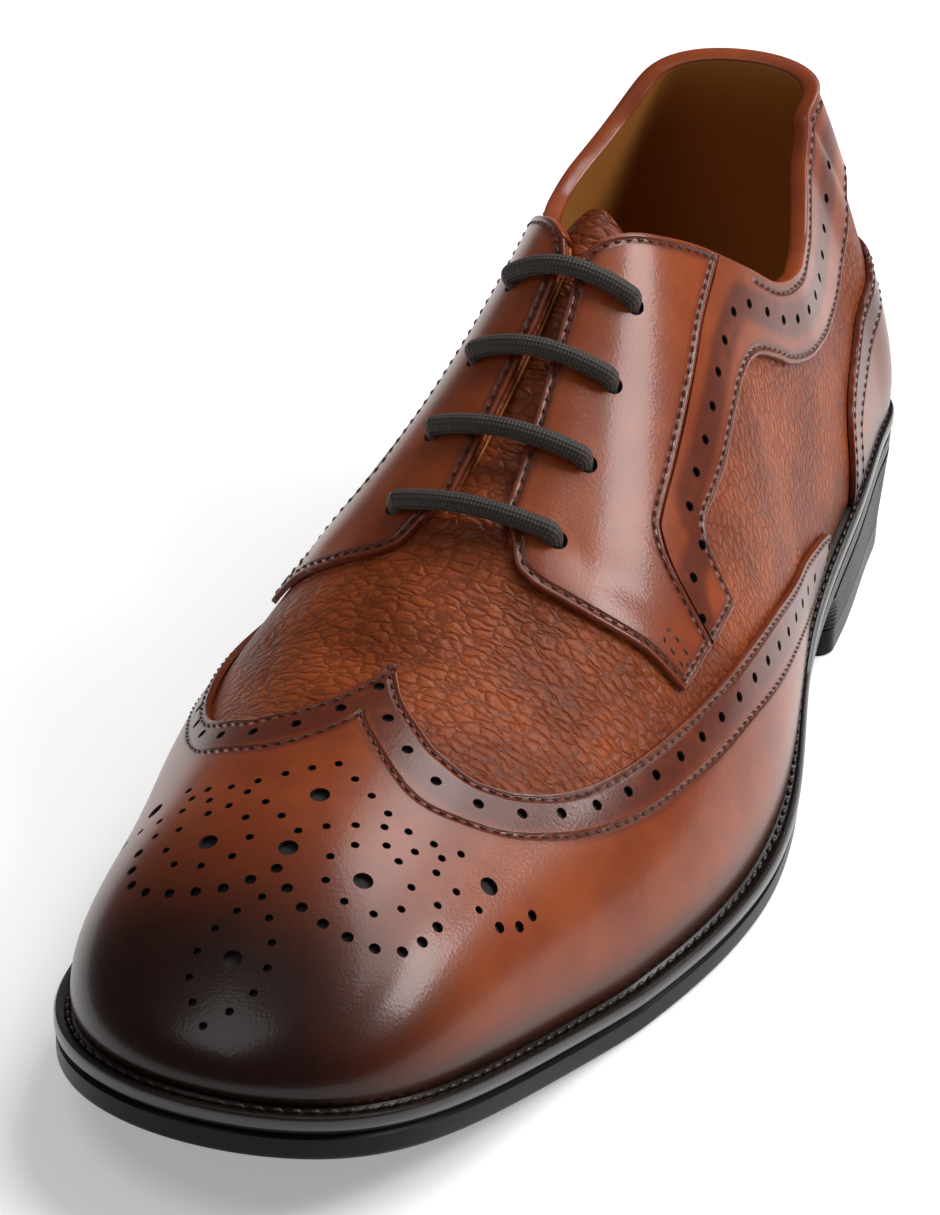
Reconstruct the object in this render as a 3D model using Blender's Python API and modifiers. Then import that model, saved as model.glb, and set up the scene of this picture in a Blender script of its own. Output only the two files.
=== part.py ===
"""Left derby brogue with wing cap: upper, sole, heel, welt, insole, tongue, overlays and lace bars.

The toe points to -Y, the wearer's left (the lateral side) to +X and Z is up. The origin lies on the
floor under the middle of the bounding box. Every form comes from one function of the last.
"""
from collections import namedtuple

import bmesh
import bpy
import numpy as np

# Driving sizes in metres
LAST_LENGTH = 0.296
BALL_WIDTH = 0.104
INSTEP_HEIGHT = 0.112
HEEL_HEIGHT = 0.0234
TOE_SPRING = 0.0146
HEEL_LENGTH = 0.074
SOLE_THICK = 0.0056
WELT_THICK = 0.0030
WELT_MARGIN = 0.0048
WELT_INSIDE = 0.0042
TOP_LIFT_THICK = 0.0060
WALL = 0.0022
OVERLAY_THICK = 0.0012
INSOLE_THICK = 0.0030
INSOLE_CLEARANCE = 0.0010
TONGUE_THICK = 0.0020
TONGUE_CLEARANCE = 0.0010
THROAT_TOP_GAP = 0.0026
THROAT_END_GAP = 0.0100
LACE_DIAMETER = 0.0035
TAB_WIDTH = 0.018
GROOVE_DEPTH = 0.0006
EDGE_ROUND = 0.0012
HEEL_CORNER = 0.0040
HEEL_TAPER = 0.0011
BREAST_SLOPE = 0.0070
GAP = 0.0003

# Grid of the last: columns from heel to toe on each side, and rows from foot to top
COLUMNS = 30
ROWS = 11
EXTRA_STATIONS = (0.355, 0.427, 0.437, 0.588, 0.598, 0.604)
NEAREST_STEP = 0.03
SAME_POINT = 0.000001
RIDGE_JOIN = 0.0003

# Blocks that cut the overlays: how far they reach under and over the last, and their grids
CUT_BELOW = 0.0012
CUT_ABOVE = 0.0050
WIDEST_STEP = 0.16
PANEL_ROWS = 8
WING_COLUMNS = 18
TAB_ROWS = 16
TAB_COLUMNS = 5

# Steps across one half of the heel, the tongue and a lace bar
HEEL_RUNGS = 14
TONGUE_STEPS = 6
LACE_STEPS = 7

# Half widths at the feather edge, as shares of the ball width
Outline = namedtuple("Outline", "station lateral medial")
OUTLINE = (
    Outline(0.000, 0.000, 0.000),
    Outline(0.025, 0.285, 0.285),
    Outline(0.096, 0.348, 0.330),
    Outline(0.206, 0.382, 0.326),
    Outline(0.345, 0.412, 0.322),
    Outline(0.500, 0.500, 0.430),
    Outline(0.655, 0.490, 0.488),
    Outline(0.794, 0.383, 0.412),
    Outline(0.905, 0.293, 0.346),
    Outline(0.976, 0.172, 0.223),
    Outline(1.000, -0.028, 0.028),
)

# Shares of the last's length where the arch rises from the ball to the heel seat, and where the
# toe spring starts and how it bends
HEEL_SEAT = 0.10
ARCH_START = 0.61
SPRING_START = 0.735
SPRING_POWER = 1.4

# Ridge of the last: height as a share of the instep height, shift as a share of the ball width.
# Behind the instep it is the closed top of the cone, and the collar cuts it off.
Ridge = namedtuple("Ridge", "station height shift")
RIDGE = (
    Ridge(0.00, 1.250, 0.000),
    Ridge(0.15, 1.220, -0.003),
    Ridge(0.30, 1.130, -0.005),
    Ridge(0.40, 1.000, -0.006),
    Ridge(0.50, 0.806, -0.010),
    Ridge(0.60, 0.634, -0.020),
    Ridge(0.71, 0.485, -0.044),
    Ridge(0.80, 0.437, -0.054),
    Ridge(0.90, 0.395, -0.056),
    Ridge(1.00, 0.330, -0.054),
)

# Cross-section from foot to ridge: how upright the wall starts, how far it bulges past the foot,
# and how wide the shoulder stays, all as shares of the section's own width and height
Profile = namedtuple("Profile", "station upright bulge_lateral bulge_medial shoulder_lateral shoulder_medial")
PROFILE = (
    Profile(0.00, 0.34, 0.03, 0.03, 0.55, 0.55),
    Profile(0.05, 0.28, 0.10, 0.00, -0.12, 0.50),
    Profile(0.10, 0.25, 0.00, 0.03, -0.08, 0.60),
    Profile(0.17, 0.26, -0.05, 0.08, 0.06, 0.72),
    Profile(0.25, 0.28, 0.01, 0.05, 0.24, 0.58),
    Profile(0.42, 0.26, 0.03, 0.02, 0.36, 0.44),
    Profile(0.58, 0.36, 0.03, 0.06, 0.46, 0.56),
    Profile(0.72, 0.58, 0.06, 0.08, 0.49, 0.50),
    Profile(0.86, 0.64, 0.08, 0.12, 0.52, 0.55),
    Profile(1.00, 0.64, 0.05, 0.05, 0.60, 0.60),
)

# The ridge's ends, where the sections fan out around heel and toe
HEEL_PIVOT = 0.13
TOE_PIVOT = 0.80
PIVOT_SOFTNESS = 0.05

# Welt width around the outline, as a share of its margin at the toe
WeltRow = namedtuple("WeltRow", "station margin")
WELT = (
    WeltRow(0.00, 0.58),
    WeltRow(0.38, 0.58),
    WeltRow(0.58, 1.00),
    WeltRow(1.00, 1.00),
)

# Heel block from its foot to the sole: where the fine grooves lie, as shares of the groove's depth
HeelRow = namedtuple("HeelRow", "share groove")
HEEL = (
    HeelRow(0.00, 0),
    HeelRow(0.30, 0),
    HeelRow(0.34, 1),
    HeelRow(0.38, 0),
    HeelRow(0.62, 0),
    HeelRow(0.66, 1),
    HeelRow(0.70, 0),
    HeelRow(1.00, 0),
)

# Collar: how far up the section the upper is cut
Collar = namedtuple("Collar", "station up")
COLLAR = (
    Collar(0.000, 0.560),
    Collar(0.022, 0.546),
    Collar(0.058, 0.524),
    Collar(0.101, 0.490),
    Collar(0.146, 0.457),
    Collar(0.185, 0.439),
    Collar(0.220, 0.440),
    Collar(0.253, 0.457),
    Collar(0.282, 0.490),
    Collar(0.309, 0.546),
    Collar(0.336, 0.612),
    Collar(0.364, 0.695),
    Collar(0.390, 0.785),
    Collar(0.405, 0.850),
    Collar(0.418, 0.910),
    Collar(0.427, 0.950),
)

# Throat: the gap between the facings, as a share of its way from the top gap to the end gap
Throat = namedtuple("Throat", "station open")
THROAT = (
    Throat(0.437, 0.00),
    Throat(0.480, 0.25),
    Throat(0.546, 0.75),
    Throat(0.588, 1.00),
    Throat(0.598, 0.70),
)
THROAT_END = 0.604

# Wing cap: the station of its upper edge on both sides, at each height up the section
Wing = namedtuple("Wing", "up lateral medial")
WING = (
    Wing(-0.040, 0.310, 0.310),
    Wing(0.000, 0.300, 0.300),
    Wing(0.035, 0.278, 0.278),
    Wing(0.065, 0.273, 0.276),
    Wing(0.090, 0.287, 0.296),
    Wing(0.121, 0.315, 0.330),
    Wing(0.204, 0.390, 0.425),
    Wing(0.321, 0.490, 0.575),
    Wing(0.388, 0.578, 0.660),
    Wing(0.429, 0.648, 0.699),
    Wing(0.471, 0.698, 0.722),
    Wing(0.508, 0.725, 0.734),
    Wing(0.567, 0.750, 0.746),
    Wing(0.613, 0.763, 0.752),
    Wing(0.696, 0.774, 0.762),
    Wing(0.787, 0.770, 0.763),
    Wing(0.858, 0.757, 0.756),
    Wing(0.929, 0.739, 0.741),
    Wing(0.975, 0.719, 0.721),
    Wing(1.000, 0.707, 0.707),
)

# Overlays on the quarter, each between a low and a high line along the stations
Panel = namedtuple("Panel", "station low high")
FACING = (
    Panel(0.352, 0.641, 0.760),
    Panel(0.390, 0.641, 1.000),
    Panel(0.435, 0.632, 1.000),
    Panel(0.510, 0.630, 1.000),
    Panel(0.530, 0.626, 1.000),
    Panel(0.540, 0.600, 1.000),
    Panel(0.546, 0.560, 1.000),
    Panel(0.549, 0.500, 1.000),
    Panel(0.550, 0.430, 1.000),
    Panel(0.575, 0.436, 1.000),
    Panel(0.597, 0.443, 1.000),
    Panel(0.604, 0.546, 0.892),
    Panel(0.610, 0.600, 0.880),
    Panel(0.614, 0.637, 0.872),
    Panel(0.620, 0.715, 0.850),
    Panel(0.623, 0.780, 0.815),
)
BAND = (
    Panel(0.022, 0.410, 0.620),
    Panel(0.058, 0.370, 0.620),
    Panel(0.101, 0.330, 0.620),
    Panel(0.161, 0.306, 0.620),
    Panel(0.196, 0.310, 0.620),
    Panel(0.244, 0.333, 0.620),
    Panel(0.291, 0.383, 0.640),
    Panel(0.321, 0.438, 0.640),
    Panel(0.345, 0.480, 0.640),
    Panel(0.365, 0.500, 0.635),
    Panel(0.390, 0.508, 0.636),
    Panel(0.435, 0.508, 0.627),
    Panel(0.470, 0.520, 0.625),
    Panel(0.492, 0.530, 0.625),
    Panel(0.502, 0.515, 0.625),
    Panel(0.506, 0.470, 0.625),
    Panel(0.507, 0.412, 0.625),
    Panel(0.530, 0.420, 0.620),
    Panel(0.539, 0.423, 0.594),
    Panel(0.545, 0.426, 0.556),
    Panel(0.548, 0.427, 0.498),
    Panel(0.549, 0.428, 0.440),
)
COUNTER = (
    Panel(0.000, -0.040, 0.290),
    Panel(0.022, -0.040, 0.280),
    Panel(0.074, -0.040, 0.258),
    Panel(0.133, -0.040, 0.210),
    Panel(0.175, -0.040, 0.170),
    Panel(0.190, -0.040, 0.130),
    Panel(0.197, -0.040, 0.070),
    Panel(0.204, -0.040, 0.000),
    Panel(0.206, -0.040, -0.020),
)

# Heel tab: half width at each height, as a share of half its width at the collar
Tab = namedtuple("Tab", "up width")
TAB = (
    Tab(0.294, 1.90),
    Tab(0.310, 1.60),
    Tab(0.340, 1.25),
    Tab(0.380, 1.05),
    Tab(0.420, 1.00),
    Tab(0.620, 1.00),
)

# Tongue: how far down from the ridge it reaches at each station
Tongue = namedtuple("Tongue", "station low")
TONGUE = (
    Tongue(0.392, 0.930),
    Tongue(0.397, 0.870),
    Tongue(0.405, 0.820),
    Tongue(0.420, 0.775),
    Tongue(0.450, 0.735),
    Tongue(0.520, 0.700),
    Tongue(0.580, 0.690),
    Tongue(0.620, 0.690),
)

EYELET_STATIONS = (0.441, 0.489, 0.540, 0.591)
EYELET_UP = 0.805
LATERAL = 1
MEDIAL = -1


def angle_of(station):
    """Angle round the outline, 0 at the heel and pi at the toe."""
    return np.arccos(1 - 2 * np.clip(station, 0, 1))


def monotone(stations, values):
    """Curve through the rows that never swings past them."""
    x, y = np.array(stations, float), np.array(values, float)
    step, slope = np.diff(x), np.diff(y) / np.diff(x)
    tangent = np.concatenate([slope[:1], np.zeros(len(x) - 2), slope[-1:]])
    for i in range(1, len(x) - 1):
        if slope[i - 1] * slope[i] > 0:
            before, after = 2 * step[i] + step[i - 1], step[i] + 2 * step[i - 1]
            tangent[i] = (before + after) / (before / slope[i - 1] + after / slope[i])

    def curve(at):
        at = np.clip(at, x[0], x[-1])
        i = np.clip(np.searchsorted(x, at) - 1, 0, len(step) - 1)
        t = (at - x[i]) / step[i]
        rise = tangent[i] * step[i] * t * (1 - t) ** 2 - tangent[i + 1] * step[i] * t * t * (1 - t)
        return y[i] * (1 + 2 * t) * (1 - t) ** 2 + y[i + 1] * t * t * (3 - 2 * t) + rise

    return curve


def spline(x, y):
    """Natural cubic spline through the points, and its slope."""
    x, y = np.array(x, float), np.array(y, float)
    step, count = np.diff(x), len(x)
    system, right = np.eye(count), np.zeros(count)
    for i in range(1, count - 1):
        system[i, i - 1:i + 2] = step[i - 1], 2 * (step[i - 1] + step[i]), step[i]
        right[i] = 6 * ((y[i + 1] - y[i]) / step[i] - (y[i] - y[i - 1]) / step[i - 1])
    bend = np.linalg.solve(system, right)

    def curve(at):
        i = np.clip(np.searchsorted(x, at) - 1, 0, count - 2)
        a, b = (x[i + 1] - at) / step[i], (at - x[i]) / step[i]
        value = a * y[i] + b * y[i + 1]
        value += ((a ** 3 - a) * bend[i] + (b ** 3 - b) * bend[i + 1]) * step[i] ** 2 / 6
        slope = (y[i + 1] - y[i]) / step[i]
        slope += ((1 - 3 * a * a) * bend[i] + (3 * b * b - 1) * bend[i + 1]) * step[i] / 6
        return value, slope

    return curve


def around_ends(values, sign):
    """Spline over the angle whose rows are mirrored past heel and toe."""
    angles = angle_of(np.array([row.station for row in OUTLINE]))
    values = np.array(values)
    full = np.concatenate([-angles[1:][::-1], angles, 2 * np.pi - angles[:-1][::-1]])
    return spline(full, np.concatenate([sign * values[1:][::-1], values, sign * values[:-1][::-1]]))


HALF_WIDTH = around_ends([(row.lateral + row.medial) / 2 * BALL_WIDTH for row in OUTLINE], -1)
MIDDLE = around_ends([(row.lateral - row.medial) / 2 * BALL_WIDTH for row in OUTLINE], 1)
RIDGE_HEIGHT = monotone([row.station for row in RIDGE], [row.height * INSTEP_HEIGHT for row in RIDGE])
RIDGE_SHIFT = spline([row.station for row in RIDGE], [row.shift * BALL_WIDTH for row in RIDGE])
WELT_WIDTH = monotone([row.station for row in WELT], [row.margin * WELT_MARGIN for row in WELT])
COLLAR_UP = monotone([row.station for row in COLLAR], [row.up for row in COLLAR])
THROAT_OPEN = monotone([row.station for row in THROAT], [row.open for row in THROAT])


def underside(station):
    """Height of the sole's underside: an S curve up to the heel seat, flat at the ball, then toe spring."""
    arch = np.clip((ARCH_START - station) / (ARCH_START - HEEL_SEAT), 0, 1)
    spring = np.clip((station - SPRING_START) / (1 - SPRING_START), 0, 1)
    return HEEL_HEIGHT * arch ** 2 * (3 - 2 * arch) + TOE_SPRING * spring ** SPRING_POWER


def steady(value):
    """A curve that has one value at every station."""
    return lambda station: np.full_like(station, value)


def profile_column(name):
    """One column of the profile table as a curve along the last."""
    return monotone([row.station for row in PROFILE], [getattr(row, name) for row in PROFILE])


UPRIGHT = profile_column("upright")
BULGE = {LATERAL: profile_column("bulge_lateral"), MEDIAL: profile_column("bulge_medial")}
SHOULDER = {LATERAL: profile_column("shoulder_lateral"), MEDIAL: profile_column("shoulder_medial")}


def outline(angle, side, margin=0.0):
    """Feather edge in plan, moved outward by a margin: across the shoe and along it from the heel."""
    half, half_slope = HALF_WIDTH(angle)
    middle, middle_slope = MIDDLE(angle)
    across, along = middle + side * half, (1 - np.cos(angle)) / 2 * LAST_LENGTH
    turn, run = middle_slope + side * half_slope, np.sin(angle) / 2 * LAST_LENGTH
    length = np.hypot(turn, run) + 1e-12
    return across + side * run / length * margin, along - side * turn / length * margin


def frame_shift():
    """Middle of the welt's outer edge, which is the widest and longest piece."""
    angle = np.linspace(0, np.pi, 721)
    margin = WELT_WIDTH((1 - np.cos(angle)) / 2)
    edges = [outline(angle, side, margin) for side in (LATERAL, MEDIAL)]
    across = np.concatenate([edge[0] for edge in edges])
    along = np.concatenate([edge[1] for edge in edges])
    return (across.max() + across.min()) / 2, (along.max() + along.min()) / 2


SHIFT_ACROSS, SHIFT_ALONG = frame_shift()


def to_frame(across, along, height):
    """Point of the last in the part's frame."""
    parts = np.broadcast_arrays(across - SHIFT_ACROSS, SHIFT_ALONG - along, height)
    return np.stack(parts, -1)


def ridge_station(station):
    """Station on the ridge that a section reaches: it stays between the two pivots, softly."""
    low = HEEL_PIVOT + PIVOT_SOFTNESS * np.log1p(np.exp((station - HEEL_PIVOT) / PIVOT_SOFTNESS))
    return TOE_PIVOT - PIVOT_SOFTNESS * np.log1p(np.exp((TOE_PIVOT - low) / PIVOT_SOFTNESS))


def last_point(angle, side, up):
    """Point of the last: up is 0 at the feather edge and 1 on the ridge, along a cubic Bezier profile."""
    foot_across, foot_along = outline(angle, side)
    station = (1 - np.cos(angle)) / 2
    top = ridge_station(station)
    top_across, top_along = RIDGE_SHIFT(top)[0], top * LAST_LENGTH
    rest = 1 - up
    width = rest ** 3 + 3 * up * rest ** 2 * (1 + BULGE[side](station))
    width = width + 3 * up ** 2 * rest * SHOULDER[side](station)
    rise = 3 * up * rest ** 2 * UPRIGHT(station) + 3 * up ** 2 * rest + up ** 3
    across = top_across + (foot_across - top_across) * width
    along = top_along + (foot_along - top_along) * width
    foot_height = underside(station) + SOLE_THICK + WELT_THICK + GAP
    height = foot_height + (RIDGE_HEIGHT(along / LAST_LENGTH) - foot_height) * rise
    return to_frame(across, along, height)


def side_normal(angle, side, up):
    """Outward direction of one side of the last, from two small steps on it."""
    small = 1e-3
    up = np.minimum(up, 1 - 6 * small)
    angle = np.clip(angle, 4 * small, np.pi - 4 * small)
    round_it = last_point(angle + small, side, up) - last_point(angle - small, side, up)
    up_it = last_point(angle, side, up + small) - last_point(angle, side, up - small)
    normal = np.cross(round_it, up_it) * -side
    return normal / np.linalg.norm(normal)


def last_normal(angle, side, up):
    """Outward direction of the last at one point, shared by both sides on the ridge and the back seam."""
    normal = side_normal(angle, side, up)
    if up >= 1 or angle <= 0 or angle >= np.pi:
        normal = normal + side_normal(angle, -side, up)
    return normal / np.linalg.norm(normal)


def throat_up(station, side):
    """Height up the section where the throat's edge lies, half the gap away from the ridge."""
    gap = THROAT_TOP_GAP + (THROAT_END_GAP - THROAT_TOP_GAP) * THROAT_OPEN(station)
    width = abs(outline(angle_of(station), side)[0] - RIDGE_SHIFT(station)[0])
    return 1 - gap / 2 / (3 * SHOULDER[side](station) * width)


def top_line(station, side):
    """Height up the section where the upper ends: collar, throat, or the closed ridge."""
    if station <= COLLAR[-1].station:
        return COLLAR_UP(station)
    if station < THROAT_END - SAME_POINT:
        return throat_up(station, side)
    return 1.0


def grid_angles():
    """Angles of the columns on one side, evenly spaced, with those that the openings need."""
    even = np.linspace(0, np.pi, COLUMNS + 1)
    extra = angle_of(np.array(EXTRA_STATIONS))
    apart = np.abs(even[:, None] - extra[None]).min(1) > NEAREST_STEP
    apart[[0, -1]] = True
    return np.sort(np.concatenate([even[apart], extra]))


def perimeter():
    """Columns round the shoe: the lateral side from heel to toe, then the medial side back."""
    angles = grid_angles()
    lateral = [(angle, LATERAL) for angle in angles]
    return lateral + [(angle, MEDIAL) for angle in angles[-2:0:-1]]


def new_collection(name):
    """Collection linked to the scene."""
    collection = bpy.data.collections.new(name)
    bpy.context.scene.collection.children.link(collection)
    return collection


def clear_scene():
    """Remove every object of the open file."""
    for item in list(bpy.data.objects):
        bpy.data.objects.remove(item, do_unlink=True)


def material(name, colour, roughness):
    """Plain Principled material."""
    made = bpy.data.materials.new(name)
    made.use_nodes = True
    shader = made.node_tree.nodes["Principled BSDF"]
    shader.inputs["Base Color"].default_value = (*colour, 1)
    shader.inputs["Roughness"].default_value = roughness
    shader.inputs["Metallic"].default_value = 0
    return made


def mesh_object(name, points, faces, collection, look=None, join=SAME_POINT):
    """Object from points and faces, with points closer than the join distance made one."""
    mesh = bpy.data.meshes.new(name)
    mesh.from_pydata([tuple(point) for point in points], [], faces)
    shape = bmesh.new()
    shape.from_mesh(mesh)
    bmesh.ops.remove_doubles(shape, verts=shape.verts, dist=join)
    bmesh.ops.dissolve_degenerate(shape, edges=shape.edges, dist=1e-6)
    shape.to_mesh(mesh)
    shape.free()
    item = bpy.data.objects.new(name, mesh)
    collection.objects.link(item)
    if look:
        mesh.materials.append(look)
    return item


def face_outward(item):
    """Turn a closed mesh's faces outward."""
    shape = bmesh.new()
    shape.from_mesh(item.data)
    bmesh.ops.recalc_face_normals(shape, faces=shape.faces)
    shape.to_mesh(item.data)
    shape.free()


def split_quads(mesh):
    """Triangles in place of quads, so that every layer over the same grid bends along the same lines."""
    shape = bmesh.new()
    shape.from_mesh(mesh)
    bmesh.ops.triangulate(shape, faces=shape.faces, quad_method="SHORT_EDGE")
    shape.to_mesh(mesh)
    shape.free()


def grid_faces(columns, rows, closed):
    """Quads of a grid whose points run up each column."""
    faces = []
    for i in range(columns if closed else columns - 1):
        j = (i + 1) % columns
        for k in range(rows - 1):
            faces.append((i * rows + k, j * rows + k, j * rows + k + 1, i * rows + k + 1))
    return faces


def slab(name, levels, collection, look):
    """Closed solid from levels, each an array of rungs with a lateral and a medial end."""
    count = len(levels[0])
    rings = [np.concatenate([level[:, 0], level[::-1, 1]]) for level in levels]
    size = 2 * count
    faces = []
    for k in range(len(rings) - 1):
        for i in range(size):
            j = (i + 1) % size
            faces.append((k * size + i, k * size + j, (k + 1) * size + j, (k + 1) * size + i))
    for base in (0, (len(rings) - 1) * size):
        for i in range(count - 1):
            faces.append((base + i, base + i + 1, base + size - 2 - i, base + size - 1 - i))
    item = mesh_object(name, np.concatenate(rings), faces, collection, look)
    face_outward(item)
    return item


def full_level(margin, lift):
    """Rungs of the whole outline at a margin and a height above the sole's underside."""
    angles = grid_angles()
    station = (1 - np.cos(angles)) / 2
    ends = []
    for side in (LATERAL, MEDIAL):
        across, along = outline(angles, side, margin(station))
        ends.append(to_frame(across, along, underside(station) + lift))
    return np.stack(ends, 1)


def make_outsole(collection, look):
    """Sole with a rounded lower edge and a groove under the welt."""

    def inset(amount):
        return lambda station: WELT_WIDTH(station) - amount

    levels = [
        full_level(inset(EDGE_ROUND + GAP), 0),
        full_level(inset(GAP), EDGE_ROUND),
        full_level(inset(GAP), SOLE_THICK - 2 * GROOVE_DEPTH),
        full_level(inset(2 * GROOVE_DEPTH), SOLE_THICK - GROOVE_DEPTH),
        full_level(inset(2 * GROOVE_DEPTH), SOLE_THICK),
    ]
    return slab("outsole", levels, collection, look)


def make_insole(collection, look):
    """Board that fills the welt's ring and steps out over it to the upper's wall."""
    core, board = steady(-WELT_INSIDE - GAP), steady(-WALL - INSOLE_CLEARANCE)
    seat = SOLE_THICK + WELT_THICK
    levels = [
        full_level(core, SOLE_THICK + GAP),
        full_level(core, seat + GAP),
        full_level(board, seat + GAP),
        full_level(board, seat + GAP + INSOLE_THICK),
    ]
    return slab("insole", levels, collection, look)


def make_welt(collection, look):
    """Ring between sole and upper, with a raised outer rim."""
    points = []
    ring = perimeter()
    for angle, side in ring:
        station = (1 - np.cos(angle)) / 2
        outer, base = WELT_WIDTH(station), underside(station) + SOLE_THICK + GAP
        top = base + WELT_THICK - GAP
        section = (
            (-WELT_INSIDE, base),
            (outer - EDGE_ROUND / 2, base),
            (outer, base + EDGE_ROUND / 2),
            (outer, top - EDGE_ROUND / 2),
            (outer - EDGE_ROUND / 2, top),
            (-WELT_INSIDE, top),
        )
        for margin, height in section:
            across, along = outline(angle, side, margin)
            points.append(to_frame(across, along, height))
    rows = len(section)
    faces = grid_faces(len(ring), rows, closed=True)
    for i in range(len(ring)):
        j = (i + 1) % len(ring)
        faces.append((i * rows + rows - 1, j * rows + rows - 1, j * rows, i * rows))
    item = mesh_object("welt", points, faces, collection, look)
    face_outward(item)
    return item


def heel_level(margin, share, low, high, front):
    """Rungs of the heel: share goes from the low face to the high one, front is the breast's place."""
    breast = angle_of(front / LAST_LENGTH)
    corner = angle_of((front - HEEL_CORNER) / LAST_LENGTH)
    angles = np.append(np.linspace(0, corner, HEEL_RUNGS), [breast, breast])
    station = (1 - np.cos(angles)) / 2
    height = low(station) * (1 - share) + high(station) * share
    ends = []
    for side in (LATERAL, MEDIAL):
        across, along = outline(angles, side, margin)
        across[-2:] -= side * np.array([HEEL_CORNER / 4, HEEL_CORNER])
        along[-2:] = front - HEEL_CORNER / 4, front
        ends.append(to_frame(across, along, height))
    return np.stack(ends, 1)


def make_heel(collection, look):
    """Heel block with fine grooves round it under the sole, and the top lift under the block."""
    margin = WELT[0].margin * WELT_MARGIN - GAP
    foot = margin - HEEL_TAPER
    floor, lift_top = steady(0.0), steady(TOP_LIFT_THICK)
    lift = [
        heel_level(foot - GAP, 0, floor, lift_top, HEEL_LENGTH),
        heel_level(foot, GAP / TOP_LIFT_THICK, floor, lift_top, HEEL_LENGTH),
        heel_level(foot, 1, floor, lift_top, HEEL_LENGTH),
    ]

    def block_top(station):
        return underside(station) - GAP

    block = []
    for row in HEEL:
        inset = HEEL_TAPER * (1 - row.share) + GROOVE_DEPTH * row.groove
        front = HEEL_LENGTH + BREAST_SLOPE * row.share ** 2
        block.append(heel_level(margin - inset, row.share, steady(TOP_LIFT_THICK + GAP), block_top, front))
    slab("heel_top_lift", lift, collection, look)
    slab("heel_stack", block, collection, look)


def upper_surface(name, collection, lift=0.0, look=None):
    """Open surface of the upper, cut at collar and throat, lifted along its own normals."""
    rows = np.linspace(0, 1, ROWS)
    ring = perimeter()
    points = []
    for angle, side in ring:
        station = (1 - np.cos(angle)) / 2
        points.extend(last_point(angle, side, rows * top_line(station, side)))
    item = mesh_object(name, points, grid_faces(len(ring), ROWS, closed=True), collection, look, RIDGE_JOIN)
    mesh = item.data
    split_quads(mesh)
    normals = np.array([vertex.normal for vertex in mesh.vertices])
    places = np.array([vertex.co for vertex in mesh.vertices])
    inward = (normals * (places - places.mean(0))).sum() < 0
    if inward:
        mesh.flip_normals()
        normals = -normals
    mesh.vertices.foreach_set("co", (places + normals * lift).ravel())
    return item


def thicken(item, thickness, outward):
    """Give an open surface a wall on one side."""
    solid = item.modifiers.new("wall", "SOLIDIFY")
    solid.thickness = thickness
    solid.offset = 1 if outward else -1
    solid.use_even_offset = True
    solid.use_quality_normals = True


def make_upper(collection, look):
    """Vamp and quarters as one hollow shell."""
    item = upper_surface("upper", collection, look=look)
    thicken(item, WALL, outward=False)
    return item


def cutter(name, columns, collection, folded):
    """Closed block between two offsets of the last, from columns of (angle, side, up) points.

    The last column of a folded block runs along the ridge and back, so it has no wall.
    """
    rows = len(columns[0])
    layers = []
    for offset in (-CUT_BELOW, CUT_ABOVE):
        for column in columns:
            for angle, side, up in column:
                layers.append(last_point(angle, side, up) + last_normal(angle, side, up) * offset)
    count = len(columns)
    size = count * rows
    faces = []
    for face in grid_faces(count, rows, closed=False):
        faces.append(face)
        faces.append(tuple(size + corner for corner in reversed(face)))
    edges = []
    for i in range(count - 1):
        edges.append((i * rows, (i + 1) * rows))
        edges.append(((i + 1) * rows + rows - 1, i * rows + rows - 1))
    for k in range(rows - 1):
        edges.append((k + 1, k))
        if not folded:
            edges.append(((count - 1) * rows + k, (count - 1) * rows + k + 1))
    for first, second in edges:
        faces.append((first, second, size + second, size + first))
    item = mesh_object(name, layers, faces, collection)
    face_outward(item)
    item.hide_render = True
    item.display_type = "WIRE"
    return item


def overlay(name, columns, parts, cutters, look, folded=False):
    """Piece of the layer over the upper that lies inside a cutter."""
    item = upper_surface(name, parts, lift=GAP, look=look)
    thicken(item, OVERLAY_THICK, outward=True)
    cut = item.modifiers.new("cut", "BOOLEAN")
    cut.operation = "INTERSECT"
    cut.solver = "EXACT"
    cut.object = cutter(name + "_cutter", columns, cutters, folded)
    return item


def panel_columns(table, side):
    """Columns of a panel that lies between two lines along the stations."""
    places = [row.station for row in table]
    stations = []
    for first, second in zip(places, places[1:]):
        steps = int(np.ceil((angle_of(second) - angle_of(first)) / WIDEST_STEP))
        stations.extend(np.linspace(first, second, steps, endpoint=False))
    stations.append(places[-1])
    low = np.interp(stations, places, [row.low for row in table])
    high = np.interp(stations, places, [row.high for row in table])
    columns = []
    for station, bottom, top in zip(stations, low, high):
        columns.append([(angle_of(station), side, up) for up in np.linspace(bottom, top, PANEL_ROWS)])
    return columns


def wing_columns():
    """Columns of the wing cap, each from its lateral edge round the toe to its medial edge."""
    ups = np.concatenate([np.linspace(a.up, b.up, 2, endpoint=False) for a, b in zip(WING, WING[1:])] + [[1]])
    edges = {LATERAL: monotone([row.up for row in WING], [row.lateral for row in WING]),
             MEDIAL: monotone([row.up for row in WING], [row.medial for row in WING])}
    columns = []
    for up in ups:
        halves = []
        for side in (LATERAL, MEDIAL):
            first = angle_of(edges[side](up))
            angles = first + (np.pi - first) * np.linspace(0, 1, WING_COLUMNS)
            halves.append([(angle, side, up) for angle in angles])
        columns.append(halves[0] + halves[1][-2::-1])
    return columns


def counter_columns():
    """Columns of the counter, from its lateral front edge round the back to its medial one."""
    lateral = panel_columns(COUNTER, LATERAL)
    return lateral[::-1] + panel_columns(COUNTER, MEDIAL)[1:]


def tab_angle(half_width):
    """Angle round the heel at which the outline is half a width away from the back seam."""
    return half_width / HALF_WIDTH(0.0)[1]


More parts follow.
